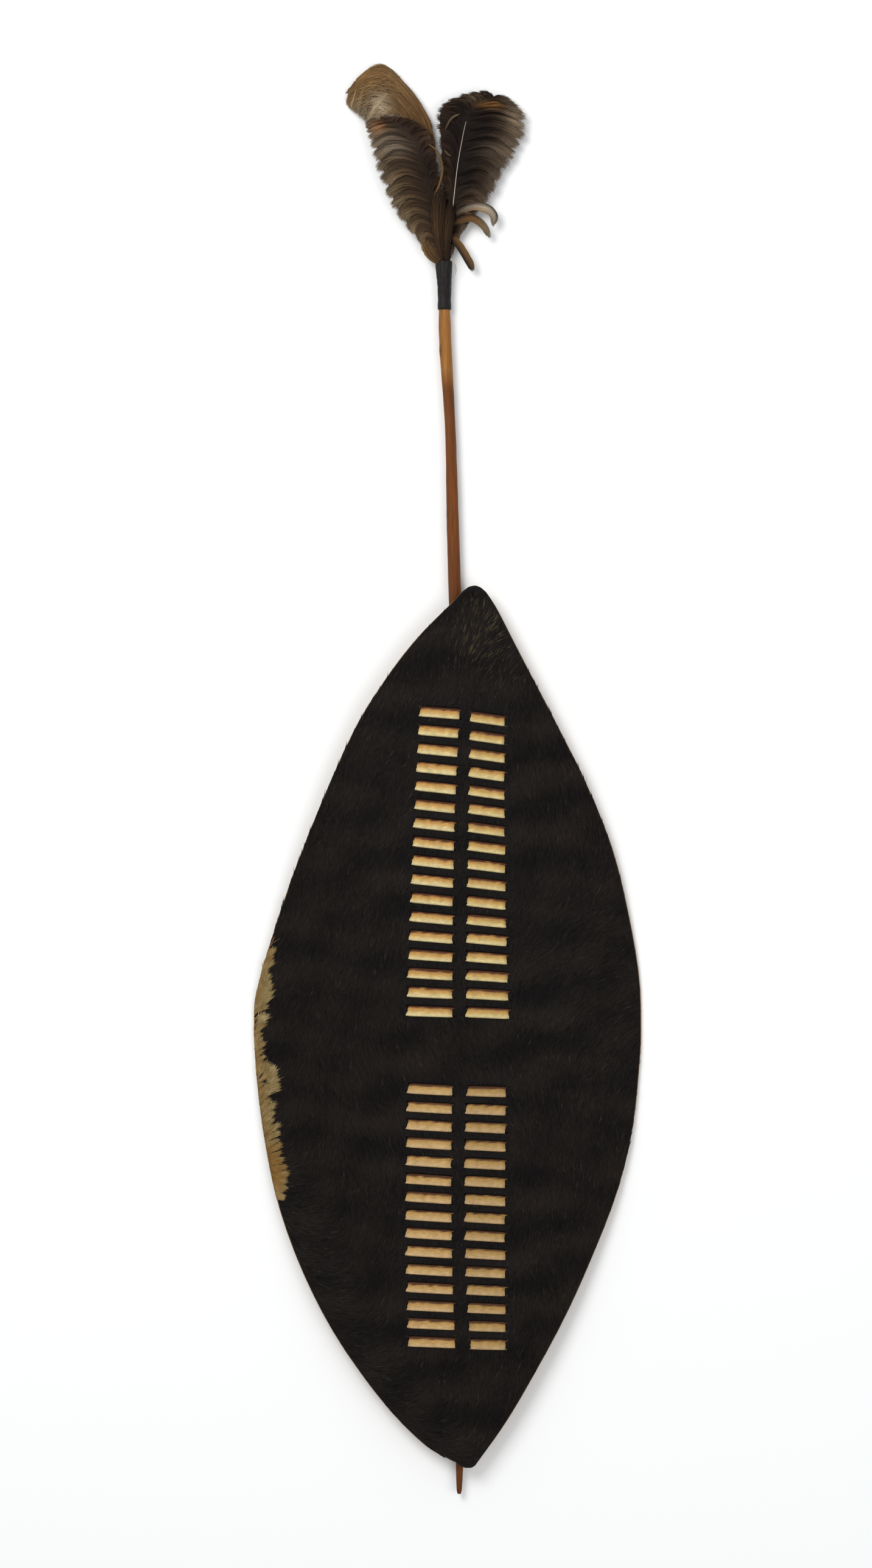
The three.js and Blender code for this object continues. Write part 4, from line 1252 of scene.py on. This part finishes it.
make_plume(
    "short_plume", "plume_left_short", seed=102,
    vane=[
        [(-6.1, ROOT_Y), (-3.9, ROOT_Y), (-1.7, ROOT_Y), 11.3, 2.2],
        [(-6.6, 1300), (-4.2, 1300), (-2, 1300), 11.6, 2.3],
        [(-29, 1317), (-7.5, 1318), (-3, 1319), 14.5, 3.6],
        [(-48, 1339), (-11, 1338), (-4, 1341), 16, 4.4],
        [(-61, 1358), (-15, 1358), (-5, 1363), 17, 5],
        [(-69, 1379), (-20, 1380), (-7, 1386), 17.4, 5.2],
        [(-77, 1401), (-26, 1402), (-11, 1410), 17.4, 5.2],
        [(-82, 1420), (-34, 1422), (-15, 1430), 17.4, 5.2],
        [(-85, 1434), (-45, 1437), (-30, 1444), 17, 4.8],
        [(-86.5, 1442), (-58, 1445), (-50, 1451), 16.4, 4],
        [(-85, 1449), (-72, 1447), (-70, 1453), 15.6, 2.8],
    ],
    # Its core and the roots of its barbs are painted darkest by the quill, as painted shade.
    core_colours=("#20160f", "#3a2a1d", "#4a3828"),
    sets=[
        (-1, 5200, ("#241911", "#3c2c1e", "#54432f", "#76654f"), 0.62, 0.6, 3,
         dict(flues=120, lock=0.62, gather=0.42, rise=0.5, fall=0.6, dome=0.5)),
        (1, 1800, ("#281b12", "#33241a", "#46321f"), 0.6, 0.7, 3,
         dict(flues=90, lock=0.62, gather=0.3, rise=0.3, fall=0.1)),
    ],
    zones=(
        # The thin pale arc at (-60, 1453) is a painted highlight along the plume's top edge, and the
        # near-black patch at (-18, 1396) beside the quill is painted shadow.
        (-52, 1447, 26, 5, "#35261a", 0.85), (-60, 1453, 20, 2.4, "#9a8a78", 0.75),
        (-74, 1439, 7, 6, "#9a6c48", 0.75), (-62, 1420, 18, 12, "#7d7060", 0.6),
        (-38, 1434, 13, 10, "#2a1b12", 0.7), (-18, 1396, 14, 20, "#191009", 0.8),
        (-62, 1401, 18, 3, "#2a1e14", 0.6),
    ),
    tufts=(
        ([(-5, 1297, 12), (-9, 1325, 18), (-10, 1352, 22), (-7, 1376, 22.5)], (5, 13, 9), 420,
         ("#37261a", "#4a3522", "#3b2a1b"), ("#2b1c12", "#44301d", "#2f2014"),
         ("#271a12", "#3a2917", "#22160d")),
        ([(-7, 1298, 12), (-15, 1304, 15), (-21, 1313, 15.5), (-24, 1322, 14)], (6, 12, 7), 260,
         ("#5a4326", "#6e5330", "#80643e"), ("#493521", "#5f4528", "#6b5132"),
         ("#3a291a", "#4c371f", "#57402a")),
        ([(-22.5, 1422, 22.5), (-11, 1413, 23.4), (-5.5, 1396, 23.6), (-8, 1380, 23.2), (-14.5, 1366, 22.4)],
         (0.8, 1.8, 1.2), 40, ("#6d5130", "#7c5c36"), ("#6d5130", "#8a6a40"), ("#5a4126", "#6d5130")),
    ),
)

make_plume(
    "dark_plume", "plume_right", seed=103,
    vane=[
        [(-3.1, ROOT_Y), (-0.9, ROOT_Y), (1.3, ROOT_Y), 7, 2.2],
        [(-2.5, 1300), (-0.4, 1300), (2, 1300), 7.2, 2.2],
        [(-2.6, 1327), (2.2, 1325), (14, 1327), 9.2, 4.2],
        [(-4, 1351), (4.6, 1347), (32, 1349), 10.4, 5.6],
        [(-6, 1378), (7.4, 1372), (47, 1369), 11, 6.6],
        [(-8.5, 1410), (10.4, 1398), (61, 1393), 11, 7],
        [(-11, 1439), (14.6, 1422), (74, 1416), 11, 7],
        [(-12, 1456), (19, 1443), (83, 1436), 11, 6.8],
        [(-4, 1466), (25, 1458), (81, 1455), 11, 6.4],
        [(20, 1476), (36, 1466), (68, 1468), 11, 5.4],
        [(42, 1479), (50, 1472), (55, 1476), 11, 4],
    ],
    core_colours=("#120c09", "#1f1610", "#33261a"),
    sets=[
        (1, 5200, ("#150e0a", "#1f1610", "#403124", "#6f5f4d"), 0.62, 0.7, 3,
         dict(flues=120, lock=0.5, gather=0.35, rise=0.5, fall=0.5, dome=0.45)),
        (-1, 2400, ("#150e0a", "#1c130d", "#2b1e14", "#3b2b1d"), 0.62, 0.8, 4,
         dict(flues=110, lock=0.6, gather=0.4, rise=0.6, fall=0.2)),
    ],
    zones=(
        (24, 1432, 26, 40, "#150e0a", 0.8), (44, 1472, 30, 6, "#241a12", 0.7),
        (46, 1463, 13, 4, "#80582c", 0.7), (26, 1470, 9, 4, "#5a4c3a", 0.6),
        # The grey-brown patch at (50, 1415) is a painted sheen inside the plume.
        (50, 1415, 16, 8, "#6a5a4a", 0.35), (72, 1446, 9, 14, "#84715b", 0.6),
        (34, 1356, 22, 18, "#513f2f", 0.5), (-3, 1370, 8, 40, "#38271a", 0.6),
    ),
    tufts=(
        # The pale middle of this lock is a painted highlight along its crest.
        ([(8, 1349, 14), (26, 1356, 16.5), (41, 1354, 16), (49, 1346, 14.5), (47.5, 1335, 12.5)],
         (6, 8.5, 5), 420, ("#241a13", "#2a1f17", "#4a3f34"), ("#3b2c20", "#c0b19c", "#8f8576"),
         ("#4b3825", "#94774f", "#857660")),
        ([(6, 1339, 13), (24, 1344, 15), (37, 1337, 14), (45, 1323, 12)], (6, 7.5, 4.5), 380,
         ("#241911", "#2a1d12", "#85796a"), ("#3a2818", "#6a4c2c", "#7c6c58"),
         ("#5a4126", "#7d5c36", "#6f5f4a")),
        ([(3, 1326, 12), (13, 1314, 13.5), (21, 1301, 13), (27.5, 1288, 12)], (6, 7.5, 6), 380,
         ("#5c4126", "#7d5a34", "#6e5030"), ("#3e2c1c", "#5a4128", "#57432f"),
         ("#1f150e", "#241911", "#2b2018")),
        ([(0, 1297, 12), (-1, 1322, 17), (2, 1344, 19.5), (2.5, 1362, 19)], (5, 10, 7), 320,
         ("#2d1f14", "#43301d", "#2e2014"), ("#241910", "#392818", "#231810"),
         ("#20150e", "#302213", "#1c120b")),
        ([(-2.5, 1437, 17.5), (4, 1448, 18), (13, 1453.5, 17.5)], (0.9, 1.6, 0.8), 30,
         ("#5f4d38", "#7d6a50"), ("#5f4d38", "#7d6a50"), ("#4a3a2a", "#66543e")),
        ([(-3.5, 1415, 17.5), (0, 1411, 18), (4, 1408.5, 17.5)], (0.8, 1.3, 0.7), 20,
         ("#54432f", "#6a563e"), ("#54432f", "#6a563e"), ("#3f3122", "#54432f")),
        ([(3.5, 1302, 14.5), (6.8, 1297, 15.5), (8.8, 1290, 15), (7.4, 1282, 13.5)], (0.6, 0.7, 0.5), 8,
         ("#a89c88", "#b5a894"), ("#a89c88", "#b5a894"), ("#a89c88", "#b5a894")),
    ),
    quill=(7.1, 0.62, "#b5a894", 1.15),
)
